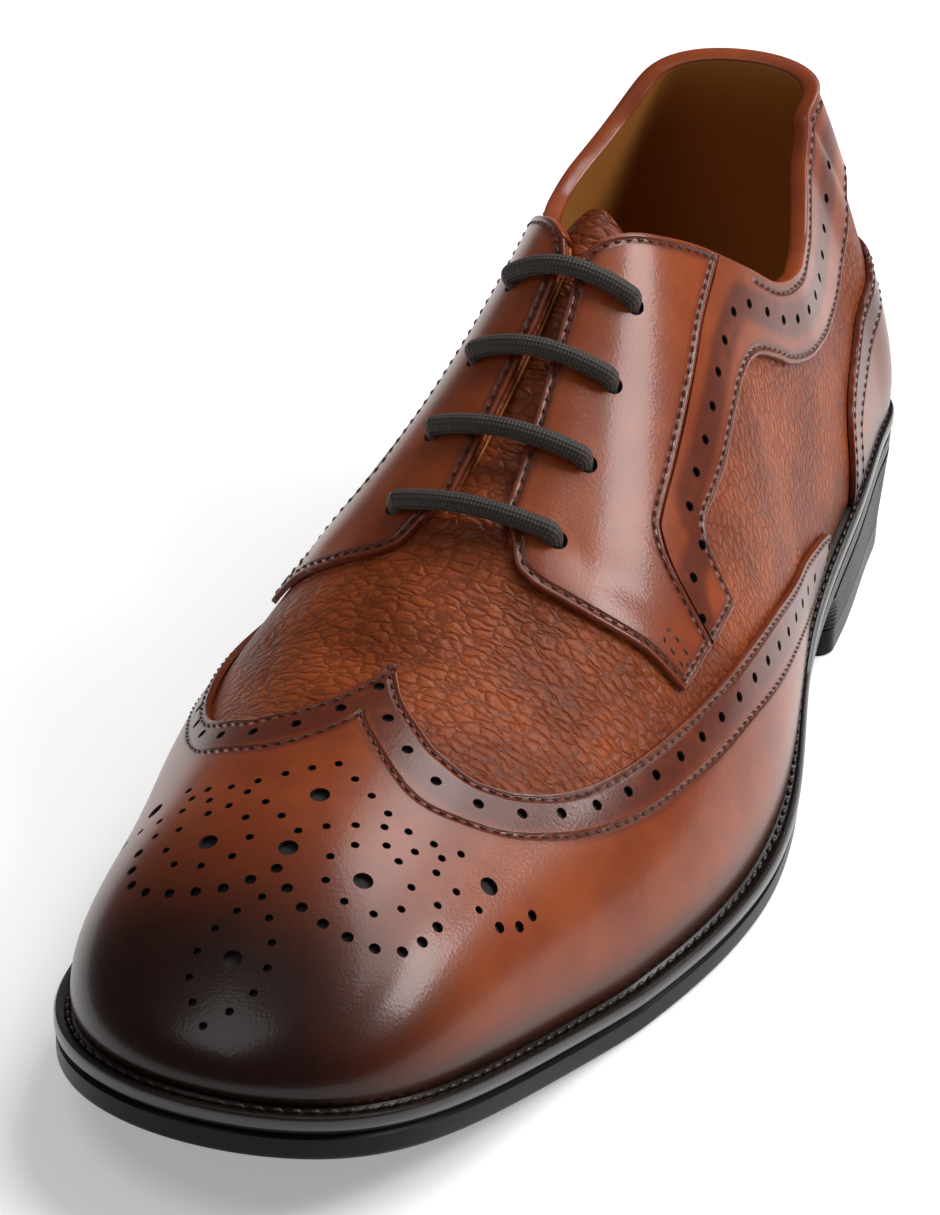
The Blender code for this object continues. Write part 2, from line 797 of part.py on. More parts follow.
def tab_columns():
    """Columns of the heel tab, each across the back seam."""
    ups = np.linspace(TAB[0].up, TAB[-1].up, TAB_ROWS)
    wide = np.interp(ups, [row.up for row in TAB], [row.width for row in TAB])
    columns = []
    for up, share in zip(ups, wide):
        reach = tab_angle(share * TAB_WIDTH / 2)
        side_angles = np.linspace(reach, 0, TAB_COLUMNS)
        column = [(angle, LATERAL, up) for angle in side_angles]
        columns.append(column + [(angle, MEDIAL, up) for angle in side_angles[-2::-1]])
    return columns


def band_table():
    """Band rows whose rear end meets the heel tab."""
    start = (1 - np.cos(tab_angle(TAB_WIDTH / 2 + GAP))) / 2
    return (Panel(start, BAND[0].low, BAND[0].high),) + BAND


def make_tongue(collection, look):
    """Tongue under the facings, one sheet across the ridge."""
    stations = []
    for first, second in zip(TONGUE, TONGUE[1:]):
        stations.extend(np.linspace(first.station, second.station, 2, endpoint=False))
    stations.append(TONGUE[-1].station)
    low = monotone([row.station for row in TONGUE], [row.low for row in TONGUE])
    depth = WALL + TONGUE_CLEARANCE
    points = []
    for station in stations:
        ups = np.linspace(low(station), 1, TONGUE_STEPS)
        for side, heights in ((LATERAL, ups), (MEDIAL, ups[-2::-1])):
            for up in heights:
                angle = angle_of(station)
                points.append(last_point(angle, side, up) - last_normal(angle, side, up) * depth)
    faces = grid_faces(len(stations), 2 * TONGUE_STEPS - 1, closed=False)
    item = mesh_object("tongue", points, faces, collection, look)
    if sum(vertex.normal.z for vertex in item.data.vertices) < 0:
        item.data.flip_normals()
    thicken(item, TONGUE_THICK, outward=False)
    return item


def make_lace_bars(collection, look):
    """Four straight bars of the lace over the facings, from eyelet to eyelet."""
    lift = GAP + OVERLAY_THICK + GAP + LACE_DIAMETER / 2 + GAP
    for number, station in enumerate(EYELET_STATIONS, start=1):
        angle = angle_of(station)
        ups = np.linspace(EYELET_UP, 1, LACE_STEPS)
        path = [(up, LATERAL) for up in ups] + [(up, MEDIAL) for up in ups[-2::-1]]
        curve = bpy.data.curves.new(f"lace_bar_{number}", "CURVE")
        curve.dimensions = "3D"
        curve.bevel_depth = LACE_DIAMETER / 2
        curve.bevel_resolution = 2
        curve.use_fill_caps = True
        line = curve.splines.new("POLY")
        line.points.add(len(path) - 1)
        for point, (up, side) in zip(line.points, path):
            place = last_point(angle, side, up) + last_normal(angle, side, up) * lift
            point.co = (*place, 1)
        curve.materials.append(look)
        item = bpy.data.objects.new(f"lace_bar_{number}", curve)
        collection.objects.link(item)


def main():
    """Build the shoe."""
    clear_scene()
    parts, cutters = new_collection("brogue_shoe"), new_collection("cutters")
    smooth = material("smooth_calf", (0.30, 0.085, 0.038), 0.32)
    grained = material("grained_leather", (0.27, 0.085, 0.040), 0.45)
    edge = material("welt_leather", (0.020, 0.012, 0.009), 0.50)
    rubber = material("black_rubber", (0.012, 0.011, 0.011), 0.55)
    board = material("insole_leather", (0.40, 0.16, 0.030), 0.55)
    cord = material("lace_cotton", (0.030, 0.018, 0.012), 0.80)
    make_outsole(parts, rubber)
    make_heel(parts, rubber)
    make_welt(parts, edge)
    make_insole(parts, board)
    make_upper(parts, grained)
    make_tongue(parts, grained)
    overlay("wing_cap", wing_columns(), parts, cutters, smooth, folded=True)
    overlay("counter", counter_columns(), parts, cutters, smooth)
    overlay("heel_tab", tab_columns(), parts, cutters, smooth)
    for word, side in (("lateral", LATERAL), ("medial", MEDIAL)):
        overlay(f"facing_{word}", panel_columns(FACING, side), parts, cutters, smooth)
        overlay(f"band_{word}", panel_columns(band_table(), side), parts, cutters, smooth)
    make_lace_bars(parts, cord)


main()
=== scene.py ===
"""Left derby brogue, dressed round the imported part.

Every piece follows one function of the last, with the part's own sizes, so that leather, lining,
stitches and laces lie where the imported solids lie. The toe points to -Y, the wearer's left to +X, and
all sizes are metres unless a name says otherwise.
"""

import logging
import math
from dataclasses import dataclass, field
from enum import Enum
from typing import Callable, Optional, Sequence

import bmesh
import bpy
import numpy as np
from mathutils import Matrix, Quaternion, Vector


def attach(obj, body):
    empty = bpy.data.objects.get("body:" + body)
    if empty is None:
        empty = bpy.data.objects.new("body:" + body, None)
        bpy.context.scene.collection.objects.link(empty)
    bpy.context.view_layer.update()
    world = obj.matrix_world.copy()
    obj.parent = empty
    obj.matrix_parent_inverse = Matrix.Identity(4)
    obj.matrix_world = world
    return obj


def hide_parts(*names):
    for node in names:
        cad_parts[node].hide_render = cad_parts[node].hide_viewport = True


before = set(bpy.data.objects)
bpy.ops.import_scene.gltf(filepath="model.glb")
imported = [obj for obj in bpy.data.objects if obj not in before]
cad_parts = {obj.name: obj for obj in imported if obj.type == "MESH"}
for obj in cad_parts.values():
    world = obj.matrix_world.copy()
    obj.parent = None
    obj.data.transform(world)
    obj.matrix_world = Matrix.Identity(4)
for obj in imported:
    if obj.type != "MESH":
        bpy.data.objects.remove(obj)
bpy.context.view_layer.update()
LOG = logging.getLogger("brogue")

MM = 0.001
GAP = 0.3 * MM
TINY = 1e-6
NO_ZERO = 1e-12  # keeps a divisor off zero
SMALL_STEP = 1e-3  # step of a numerical slope, in radians or in shares of a section
UNMARKED_MM = 99.0  # distance stored where a piece has no such line
Array = np.ndarray
Curve = Callable[[Array], Array]


def monotone(x: Sequence[float], y: Sequence[float]) -> Curve:
    """Make a curve through points that never swings past them.

    Each piece is a cubic whose end slopes are the weighted harmonic mean of the neighbouring slopes,
    or zero where those change sign.

    Args:
        x: Places, rising.
        y: Values at the places.

    Returns:
        A function of an array of places.
    """
    x, y = np.array(x, float), np.array(y, float)
    step, slope = np.diff(x), np.diff(y) / np.diff(x)
    before, after = 2 * step[1:] + step[:-1], step[1:] + 2 * step[:-1]
    same = slope[:-1] * slope[1:] > 0
    left, right = np.where(same, slope[:-1], 1), np.where(same, slope[1:], 1)
    inner = np.where(same, (before + after) / (before / left + after / right), 0)
    tangent = np.concatenate([slope[:1], inner, slope[-1:]])

    def curve(at: Array) -> Array:
        """Read the curve at an array of places."""
        at = np.clip(at, x[0], x[-1])
        i = np.clip(np.searchsorted(x, at) - 1, 0, len(step) - 1)
        t = (at - x[i]) / step[i]
        rise = tangent[i] * step[i] * t * (1 - t) ** 2 - tangent[i + 1] * step[i] * t * t * (1 - t)
        return y[i] * (1 + 2 * t) * (1 - t) ** 2 + y[i + 1] * t * t * (3 - 2 * t) + rise

    return curve


def spline(x: Sequence[float], y: Sequence[float]) -> Callable[[Array], tuple[Array, Array]]:
    """Make a natural cubic spline, whose second slope runs straight between the points.

    Args:
        x: Places, rising.
        y: Values at the places.

    Returns:
        A function of an array of places that gives the values and their slopes.
    """
    x, y = np.array(x, float), np.array(y, float)
    step, count = np.diff(x), len(x)
    inner = np.arange(1, count - 1)
    system, right = np.eye(count), np.zeros(count)
    system[inner, inner - 1], system[inner, inner + 1] = step[:-1], step[1:]
    system[inner, inner] = 2 * (step[:-1] + step[1:])
    right[inner] = 6 * (np.diff(y)[1:] / step[1:] - np.diff(y)[:-1] / step[:-1])
    bend = np.linalg.solve(system, right)

    def curve(at: Array) -> tuple[Array, Array]:
        """Read the spline and its slope at an array of places."""
        i = np.clip(np.searchsorted(x, at) - 1, 0, count - 2)
        a, b = (x[i + 1] - at) / step[i], (at - x[i]) / step[i]
        value = a * y[i] + b * y[i + 1]
        value = value + ((a ** 3 - a) * bend[i] + (b ** 3 - b) * bend[i + 1]) * step[i] ** 2 / 6
        slope = (y[i + 1] - y[i]) / step[i]
        slope = slope + ((1 - 3 * a * a) * bend[i] + (3 * b * b - 1) * bend[i + 1]) * step[i] / 6
        return value, slope

    return curve


def smoothstep(value: Array, start: float, end: float) -> Array:
    """Go softly from 0 at start to 1 at end."""
    t = np.clip((value - start) / (end - start), 0, 1)
    return t * t * (3 - 2 * t)


def angle_of(station: Array) -> Array:
    """Give the angle round the outline, 0 at the heel and pi at the toe, for a share of the length."""
    return np.arccos(1 - 2 * np.clip(station, 0, 1))


def station_of(angle: Array) -> Array:
    """Give the share of the length for an angle round the outline."""
    return (1 - np.cos(angle)) / 2


class Side(float, Enum):
    """The two sides of the shoe, as the sign of their half width."""

    LATERAL = 1.0
    MEDIAL = -1.0


@dataclass(frozen=True)
class Crease:
    """A soft trough or, with a negative depth, a soft ridge in the leather, along a line in plan."""

    start: tuple[float, float]
    end: tuple[float, float]
    width: float
    depth: float

    def relief(self, points: Array) -> Array:
        """Give the height at each point: a bell across the line that fades past its two ends.

        Args:
            points: Points on the last.

        Returns:
            Heights along the leather's own outward direction.
        """
        start, end = np.array(self.start), np.array(self.end)
        run = end - start
        share = np.clip(((points[..., :2] - start) @ run) / (run @ run), 0, 1)
        away = np.linalg.norm(points[..., :2] - (start + share[..., None] * run), axis=-1)
        return -self.depth * np.exp(-(away / self.width) ** 2)


@dataclass(frozen=True)
class Last:
    """The form that every piece follows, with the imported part's sizes and tables."""

    length: float = 0.296
    ball_width: float = 0.104
    instep_height: float = 0.112
    heel_height: float = 0.0234
    toe_spring: float = 0.0146
    sole_thick: float = 0.0056
    welt_thick: float = 0.0030
    welt_margin: float = 0.0048
    throat_top_gap: float = 0.0026
    throat_end_gap: float = 0.0100
    heel_seat: float = 0.10
    arch_start: float = 0.61
    spring_start: float = 0.735
    spring_power: float = 1.4
    heel_pivot: float = 0.13
    toe_pivot: float = 0.80
    pivot_softness: float = 0.05
    throat_end: float = 0.604
    corner_blend: float = 0.010
    # station, lateral and medial half width as shares of the ball width
    outline_rows: tuple = (
        (0.000, 0.000, 0.000), (0.025, 0.285, 0.285), (0.096, 0.348, 0.330), (0.206, 0.382, 0.326),
        (0.345, 0.412, 0.322), (0.500, 0.500, 0.430), (0.655, 0.490, 0.488), (0.794, 0.383, 0.412),
        (0.905, 0.293, 0.346), (0.976, 0.172, 0.223), (1.000, -0.028, 0.028),
    )
    # station, ridge height as a share of the instep height, ridge shift as a share of the ball width
    ridge_rows: tuple = (
        (0.00, 1.250, 0.000), (0.15, 1.220, -0.003), (0.30, 1.130, -0.005), (0.40, 1.000, -0.006),
        (0.50, 0.806, -0.010), (0.60, 0.634, -0.020), (0.71, 0.485, -0.044), (0.80, 0.437, -0.054),
        (0.90, 0.395, -0.056), (1.00, 0.330, -0.054),
    )
    # station, upright, bulge lateral and medial, shoulder lateral and medial
    profile_rows: tuple = (
        (0.00, 0.34, 0.03, 0.03, 0.55, 0.55), (0.05, 0.28, 0.10, 0.00, -0.12, 0.50),
        (0.10, 0.25, 0.00, 0.03, -0.08, 0.60), (0.17, 0.26, -0.05, 0.08, 0.06, 0.72),
        (0.25, 0.28, 0.01, 0.05, 0.24, 0.58), (0.42, 0.26, 0.03, 0.02, 0.36, 0.44),
        (0.58, 0.36, 0.03, 0.06, 0.46, 0.56), (0.72, 0.58, 0.06, 0.08, 0.49, 0.50),
        (0.86, 0.64, 0.08, 0.12, 0.52, 0.55), (1.00, 0.64, 0.05, 0.05, 0.60, 0.60),
    )
    # station, welt width as a share of the welt margin
    welt_rows: tuple = ((0.00, 0.58), (0.38, 0.58), (0.58, 1.00), (1.00, 1.00))
    # station, height up the section where the collar lies
    collar_rows: tuple = (
        (0.000, 0.560), (0.022, 0.546), (0.058, 0.524), (0.101, 0.490), (0.146, 0.457),
        (0.185, 0.439), (0.220, 0.440), (0.253, 0.457), (0.282, 0.490), (0.309, 0.546),
        (0.336, 0.612), (0.364, 0.695), (0.390, 0.785), (0.405, 0.850), (0.418, 0.910), (0.427, 0.950),
    )
    # station, how far the throat is open between its two gaps
    throat_rows: tuple = ((0.437, 0.00), (0.480, 0.25), (0.546, 0.75), (0.588, 1.00), (0.604, 1.00))
    creases: tuple = (
        Crease((-0.028, -0.030), (0.010, -0.040), 0.0045, 0.00045),
        Crease((0.004, -0.048), (0.034, -0.037), 0.0050, 0.00050),
        Crease((-0.034, -0.047), (-0.012, -0.057), 0.0040, 0.00035),
        Crease((0.018, -0.026), (0.038, -0.016), 0.0040, 0.00035),
        Crease((0.036, 0.046), (0.034, 0.082), 0.0060, 0.00060),
        Crease((-0.034, 0.040), (-0.032, 0.080), 0.0060, 0.00060),
    )

    def __post_init__(self) -> None:
        """Turn the tables into curves and find the middle of the welt's outer edge."""
        rows, ridge, profile = map(np.array, (self.outline_rows, self.ridge_rows, self.profile_rows))
        keep = object.__setattr__
        keep(self, "half_width", self._round_ends(rows, (rows[:, 1] + rows[:, 2]) / 2, -1))
        keep(self, "middle", self._round_ends(rows, (rows[:, 1] - rows[:, 2]) / 2, 1))
        keep(self, "ridge_height", monotone(ridge[:, 0], ridge[:, 1] * self.instep_height))
        keep(self, "ridge_shift", spline(ridge[:, 0], ridge[:, 2] * self.ball_width))
        keep(self, "profile", [monotone(profile[:, 0], profile[:, i]) for i in range(1, 6)])
        welt, collar, throat = map(np.array, (self.welt_rows, self.collar_rows, self.throat_rows))
        keep(self, "welt_width", monotone(welt[:, 0], welt[:, 1] * self.welt_margin))
        keep(self, "collar_up", monotone(collar[:, 0], collar[:, 1]))
        keep(self, "throat_open", monotone(throat[:, 0], throat[:, 1]))
        keep(self, "shift", (0.0, 0.0))
        angle = np.linspace(0, np.pi, 721)
        margin = self.welt_width(station_of(angle))
        edges = [self.outline(angle, side.value, margin) for side in Side]
        across, along = (np.concatenate([edge[i] for edge in edges]) for i in (0, 1))
        keep(self, "shift", ((across.max() + across.min()) / 2, (along.max() + along.min()) / 2))

    def _round_ends(self, rows: Array, shares: Array, sign: int) -> Callable:
        """Spline over the angle whose rows are mirrored past heel and toe, as shares of the ball."""
        angles, values = angle_of(rows[:, 0]), shares * self.ball_width
        places = np.concatenate([-angles[1:][::-1], angles, 2 * np.pi - angles[:-1][::-1]])
        return spline(places, np.concatenate([sign * values[1:][::-1], values, sign * values[:-1][::-1]]))

    def underside(self, station: Array) -> Array:
        """Give the sole's underside: an S curve up to the heel seat, flat ball, then toe spring."""
        arch = np.clip((self.arch_start - station) / (self.arch_start - self.heel_seat), 0, 1)
        spring = np.clip((station - self.spring_start) / (1 - self.spring_start), 0, 1)
        return self.heel_height * arch ** 2 * (3 - 2 * arch) + self.toe_spring * spring ** self.spring_power

    def outline(self, angle: Array, side: Array, margin: Array = 0.0) -> tuple[Array, Array]:
        """Give the feather edge in plan, moved outward by a margin along its own normal.

        Args:
            angle: Angle round the outline.
            side: Sign of the side.
            margin: Distance outward.

        Returns:
            Places across the shoe and along it from the heel.
        """
        (half, half_slope), (middle, middle_slope) = self.half_width(angle), self.middle(angle)
        across, along = middle + side * half, station_of(angle) * self.length
        turn, run = middle_slope + side * half_slope, np.sin(angle) / 2 * self.length
        size = np.hypot(turn, run) + NO_ZERO
        return across + side * run / size * margin, along - side * turn / size * margin

    def place(self, across: Array, along: Array, height: Array) -> Array:
        """Put points of the last into the part's frame."""
        return np.stack(np.broadcast_arrays(across - self.shift[0], self.shift[1] - along, height), -1)

    def ridge_station(self, station: Array) -> Array:
        """Give the station on the ridge that a section reaches, kept softly between the two pivots."""
        soft = self.pivot_softness
        low = self.heel_pivot + soft * np.log1p(np.exp((station - self.heel_pivot) / soft))
        return self.toe_pivot - soft * np.log1p(np.exp((self.toe_pivot - low) / soft))

    def point(self, angle: Array, side: Array, up: Array) -> Array:
        """Give points of the last.

        Each section is a cubic Bezier from the feather edge to the ridge. Its first handle is set by
        how upright the wall starts and how far it bulges, its second by how wide the shoulder stays.

        Args:
            angle: Angle round the outline.
            side: Sign of the side.
            up: 0 at the feather edge and 1 on the ridge.

        Returns:
            Points in the part's frame.
        """
        station = station_of(angle)
        foot_across, foot_along = self.outline(angle, side)
        top = self.ridge_station(station)
        top_across, top_along = self.ridge_shift(top)[0], top * self.length
        upright, bulge_l, bulge_m, shoulder_l, shoulder_m = (curve(station) for curve in self.profile)
        bulge = np.where(side > 0, bulge_l, bulge_m)
        shoulder = np.where(side > 0, shoulder_l, shoulder_m)
        rest = 1 - up
        width = rest ** 3 + 3 * up * rest ** 2 * (1 + bulge) + 3 * up ** 2 * rest * shoulder
        rise = 3 * up * rest ** 2 * upright + 3 * up ** 2 * rest + up ** 3
        across = top_across + (foot_across - top_across) * width
        along = top_along + (foot_along - top_along) * width
        foot = self.underside(station) + self.sole_thick + self.welt_thick + GAP
        return self.place(across, along, foot + (self.ridge_height(along / self.length) - foot) * rise)

    def _side_normal(self, angle: Array, side: Array, up: Array) -> Array:
        """Give the outward direction of one side from the cross product of two small steps."""
        small = SMALL_STEP
        up = np.minimum(up, 1 - 6 * small)
        angle = np.clip(angle, 4 * small, np.pi - 4 * small)
        round_it = self.point(angle + small, side, up) - self.point(angle - small, side, up)
        up_it = self.point(angle, side, up + small) - self.point(angle, side, up - small)
        normal = np.cross(round_it, up_it) * -np.asarray(side)[..., None]
        return normal / np.linalg.norm(normal, axis=-1, keepdims=True)

    def normal(self, angle: Array, side: Array, up: Array) -> Array:
        """Give the outward direction, shared by both sides on the ridge and on the back and toe seams."""
        angle, side, up = np.broadcast_arrays(angle, side, up)
        normal = self._side_normal(angle, side, up)
        shared = (up > 1 - TINY) | (angle < TINY) | (angle > np.pi - TINY)
        normal = np.where(shared[..., None], normal + self._side_normal(angle, -side, up), normal)
        return normal / np.linalg.norm(normal, axis=-1, keepdims=True)

    def leather(self, angle: Array, side: Array, up: Array, lift: Array) -> Array:
        """Give points at a lift over the last, creases included."""
        base = self.point(angle, side, up)
        relief = sum(crease.relief(base) for crease in self.creases)
        return base + self.normal(angle, side, up) * (np.asarray(lift) + relief)[..., None]

    def top_line(self, station: Array, side: Array) -> Array:
        """Give how far up the upper reaches: collar, edge of the throat, or the closed ridge.

        Next to the ridge a section is 3 * shoulder * (1 - up) widths away from it, which turns half the
        throat's gap into a height.
        """
        gap = self.throat_top_gap + (self.throat_end_gap - self.throat_top_gap) * self.throat_open(station)
        width = abs(self.outline(angle_of(station), side)[0] - self.ridge_shift(station)[0])
        shoulder = np.where(side > 0, self.profile[3](station), self.profile[4](station))
        throat = 1 - gap / (6 * shoulder * width + TINY)
        corner = self.collar_rows[-1]
        blend = np.clip((station - corner[0]) / self.corner_blend, 0, 1)
        above = np.where(station < self.throat_end, corner[1] + (throat - corner[1]) * blend, 1.0)
        return np.where(station <= corner[0], self.collar_up(station), above)


def linear(hex_colour: str) -> tuple[float, float, float, float]:
    """Turn an sRGB hex colour into Blender's linear colour.

    Args:
        hex_colour: Six hex digits.

    Returns:
        Linear red, green, blue and an alpha of 1.
    """
    shares = [int(hex_colour[i:i + 2], 16) / 255 for i in (0, 2, 4)]
    return (*(s / 12.92 if s <= 0.04045 else ((s + 0.055) / 1.055) ** 2.4 for s in shares), 1.0)


Tree = bpy.types.NodeTree
Socket = bpy.types.NodeSocket


def feed(tree: Tree, node: bpy.types.Node, inputs: dict) -> None:
    """Give a node's inputs, by name or number, their values or links."""
    for name, value in inputs.items():
        if isinstance(value, Socket):
            tree.links.new(value, node.inputs[name])
        else:
            node.inputs[name].default_value = value


def add_node(tree: Tree, kind: str, inputs: Optional[dict] = None, **settings) -> bpy.types.Node:
    """Add one node with its settings, then the values or links of its inputs."""
    node = tree.nodes.new(kind)
    for name, value in settings.items():
        setattr(node, name, value)
    feed(tree, node, inputs or {})
    return node


def object_place(tree: Tree) -> Socket:
    """Give the place on the piece, in metres."""
    return add_node(tree, "ShaderNodeTexCoord").outputs["Object"]


def attribute(tree: Tree, name: str) -> Socket:
    """Read a number stored on the piece's points."""
    return add_node(tree, "ShaderNodeAttribute", attribute_name=name).outputs["Fac"]


def noise(tree: Tree, place: Socket, scale: float, detail: float, roughness: float = 0.5) -> Socket:
    """Give soft noise from 0 to 1."""
    inputs = {"Vector": place, "Scale": scale, "Detail": detail, "Roughness": roughness}
    return add_node(tree, "ShaderNodeTexNoise", inputs).outputs["Fac"]


def ramp(tree: Tree, value: Socket, start: float, end: float) -> Socket:
    """Turn a value softly into 0 at start and 1 at end."""
    inputs = {"Value": value, "From Min": start, "From Max": end}
    return add_node(tree, "ShaderNodeMapRange", inputs, interpolation_type="SMOOTHSTEP").outputs["Result"]


def arithmetic(tree: Tree, operation: str, first: object, second: object) -> Socket:
    """Combine two values or sockets with one arithmetic operation."""
    return add_node(tree, "ShaderNodeMath", {0: first, 1: second}, operation=operation).outputs[0]


def vector(tree: Tree, operation: str, first: object, second: object) -> Socket:
    """Combine two vectors with one arithmetic operation."""
    return add_node(tree, "ShaderNodeVectorMath", {0: first, 1: second}, operation=operation).outputs[0]


def mixed(tree: Tree, share: object, first: object, second: object) -> Socket:
    """Mix two colours by a share; the node's colours are its inputs 6 and 7 and its output 2."""
    return add_node(tree, "ShaderNodeMix", {0: share, 6: first, 7: second}, data_type="RGBA").outputs[2]


def bump(tree: Tree, height: Socket, distance: float, under: Optional[Socket] = None) -> Socket:
    """Raise a pattern by a distance in metres, over another bump if one is given."""
    inputs = {"Height": height, "Strength": 1.0, "Distance": distance}
    if under is not None:
        inputs["Normal"] = under
    return add_node(tree, "ShaderNodeBump", inputs).outputs["Normal"]


class Finish:
    """A material that a piece is dressed in, made once from its own fields."""

    name: str

    def shade(self, tree: Tree, shader: bpy.types.Node) -> None:
        """Connect the pattern to the shader."""
        raise NotImplementedError

    def material(self) -> bpy.types.Material:
        """Give the material, made on first use."""
        made = bpy.data.materials.get(self.name)
        if made is None:
            made = bpy.data.materials.new(self.name)
            made.use_nodes = True
            self.shade(made.node_tree, made.node_tree.nodes["Principled BSDF"])
        return made


@dataclass(frozen=True)
class BurnishedCalf(Finish):
    """Smooth box calf, dyed cognac, burnished dark by hand at toe and edges, waxed to a soft gloss."""

    name: str = "burnished_calf"
    body: str = "7C3519"
    warm: str = "924520"
    shade_colour: str = "471C14"
    burnish: str = "1D0703"
    roughness: float = 0.31
    specular: float = 0.26
    coat: float = 0.16
    coat_roughness: float = 0.12
    cloud_scale: float = 48.0
    streak_scale: float = 260.0
    pore_mm: float = 0.55
    pore_height: float = 0.000018
    seam_height: float = 0.00030
    seam_mm: float = 0.9
    # attribute, millimetres where the dark dye starts to fade and where it ends, strength of the dye
    dark_lines: tuple = (("edge", 0.2, 3.5, 0.65), ("seam", 0.2, 2.2, 0.70), ("band", 2.2, 5.0, 0.75))

    def shade(self, tree: Tree, shader: bpy.types.Node) -> None:
        """Cloud the dye, darken edges, seams and toe, and press the seams in.

        The cloudiness is noise some 20 mm wide. The attributes seam, edge and band are distances to the
        next stitched row, cut edge and row of holes in millimetres, burnish how dark the polish is.
        """
        place = object_place(tree)
        cloud = noise(tree, place, self.cloud_scale, 5.0, 0.62)
        streak = noise(tree, place, self.streak_scale, 3.0, 0.6)
        colour = mixed(tree, ramp(tree, cloud, 0.35, 0.68), linear(self.body), linear(self.warm))
        dark = 0.0
        for name, start, end, strength in self.dark_lines:
            near = arithmetic(tree, "SUBTRACT", 1.0, ramp(tree, attribute(tree, name), start, end))
            dark = arithmetic(tree, "MAXIMUM", dark, arithmetic(tree, "MULTIPLY", near, strength))
        dark = arithmetic(tree, "MULTIPLY", dark, ramp(tree, streak, -0.10, 0.55))
        colour = mixed(tree, dark, colour, linear(self.shade_colour))
        cloudy = arithmetic(tree, "MULTIPLY", arithmetic(tree, "SUBTRACT", cloud, 0.5), 0.5)
        worn = arithmetic(tree, "ADD", attribute(tree, "burnish"), cloudy)
        colour = mixed(tree, ramp(tree, worn, 0.02, 0.98), colour, linear(self.burnish))
        pores = add_node(tree, "ShaderNodeTexVoronoi", {"Vector": place, "Scale": 1000 / self.pore_mm},
                         feature="SMOOTH_F1").outputs["Distance"]
        groove = ramp(tree, attribute(tree, "seam"), 0.0, self.seam_mm)
        pressed = bump(tree, groove, self.seam_height, bump(tree, pores, self.pore_height))
        feed(tree, shader, {
            "Base Color": colour, "Roughness": self.roughness, "Specular IOR Level": self.specular,
            "Coat Weight": self.coat, "Coat Roughness": self.coat_roughness, "Normal": pressed,
            "Coat Normal": pressed,
        })


@dataclass(frozen=True)
class PebbledLeather(Finish):
    """Tumbled full-grain leather: round pebbles that stretch across the shoe, with painted shade in their
    creases.
    """

    name: str = "pebbled_leather"
    top: str = "974822"
    body: str = "793616"
    # colour of the painted shade in the creases between pebbles; the burnish darkens towards the same colour
    crease_shade_and_burnish: str = "431709"
    roughness: float = 0.42
    specular: float = 0.17
    pebble_mm: float = 2.4
    small_pebble_mm: float = 2.4 / 1.9
    small_share: float = 0.2
    height: float = 0.00031
    fine_height: float = 0.00005
    warp: float = 0.0022
    stretch: tuple = (0.62, 1.35, 0.8)
    crease_shade_strength: float = 0.45

    def shade(self, tree: Tree, shader: bpy.types.Node) -> None:
        """Raise soft pebbles from the creases between the cells and paint shade into the creases."""
        place = object_place(tree)
        wander = add_node(tree, "ShaderNodeTexNoise", {"Vector": place, "Scale": 260.0, "Detail": 2.0})
        centred = vector(tree, "SUBTRACT", wander.outputs["Color"], (0.5,) * 3)
        warped = vector(tree, "ADD", place, vector(tree, "MULTIPLY", centred, (self.warp,) * 3))
        laid = add_node(tree, "ShaderNodeMapping", {"Vector": warped, "Scale": self.stretch}).outputs[0]
        cells, small = (
            add_node(tree, "ShaderNodeTexVoronoi", {"Vector": laid, "Scale": 1000 / size},
                     feature="DISTANCE_TO_EDGE").outputs["Distance"]
            for size in (self.pebble_mm, self.small_pebble_mm))
        domes = [arithmetic(tree, "MULTIPLY", ramp(tree, layer, -0.10, 0.34), share)
                 for layer, share in ((cells, 1 - self.small_share), (small, self.small_share))]
        cloud = noise(tree, place, 55.0, 4.0)
        colour = mixed(tree, ramp(tree, cloud, 0.35, 0.65), linear(self.body), linear(self.top))
        # painted shade: darkens the leather in the narrow creases between the pebbles
        deep = arithmetic(tree, "SUBTRACT", 1.0, ramp(tree, cells, 0.0, 0.13))
        colour = mixed(tree, arithmetic(tree, "MULTIPLY", deep, self.crease_shade_strength), colour,
                       linear(self.crease_shade_and_burnish))
        colour = mixed(tree, attribute(tree, "burnish"), colour, linear(self.crease_shade_and_burnish))
        fine = bump(tree, noise(tree, warped, 1500.0, 2.0), self.fine_height)
        feed(tree, shader, {
            "Base Color": colour, "Roughness": self.roughness, "Specular IOR Level": self.specular,
            "Normal": bump(tree, arithmetic(tree, "ADD", *domes), self.height, fine),
        })


@dataclass(frozen=True)
class PlainSkin(Finish):
    """A plain material with cloudy colour and fine grain: sock, painted shade in punched holes, rubber or
    thread.
    """

    name: str
    first: str
    second: str
    roughness: float
    grain_mm: float
    grain_height: float
    cloud_scale: float = 60.0
    specular: float = 0.5
    coat: float = 0.0
    coat_roughness: float = 0.2

    def shade(self, tree: Tree, shader: bpy.types.Node) -> None:
        """Mix two colours by noise and raise a fine noise grain."""
        place = object_place(tree)
        cloud = ramp(tree, noise(tree, place, self.cloud_scale, 4.0), 0.35, 0.68)
        grain = noise(tree, place, 1000 / self.grain_mm, 3.0)
        feed(tree, shader, {
            "Base Color": mixed(tree, cloud, linear(self.first), linear(self.second)),
            "Roughness": self.roughness, "Specular IOR Level": self.specular, "Coat Weight": self.coat,
            "Coat Roughness": self.coat_roughness, "Normal": bump(tree, grain, self.grain_height),
        })


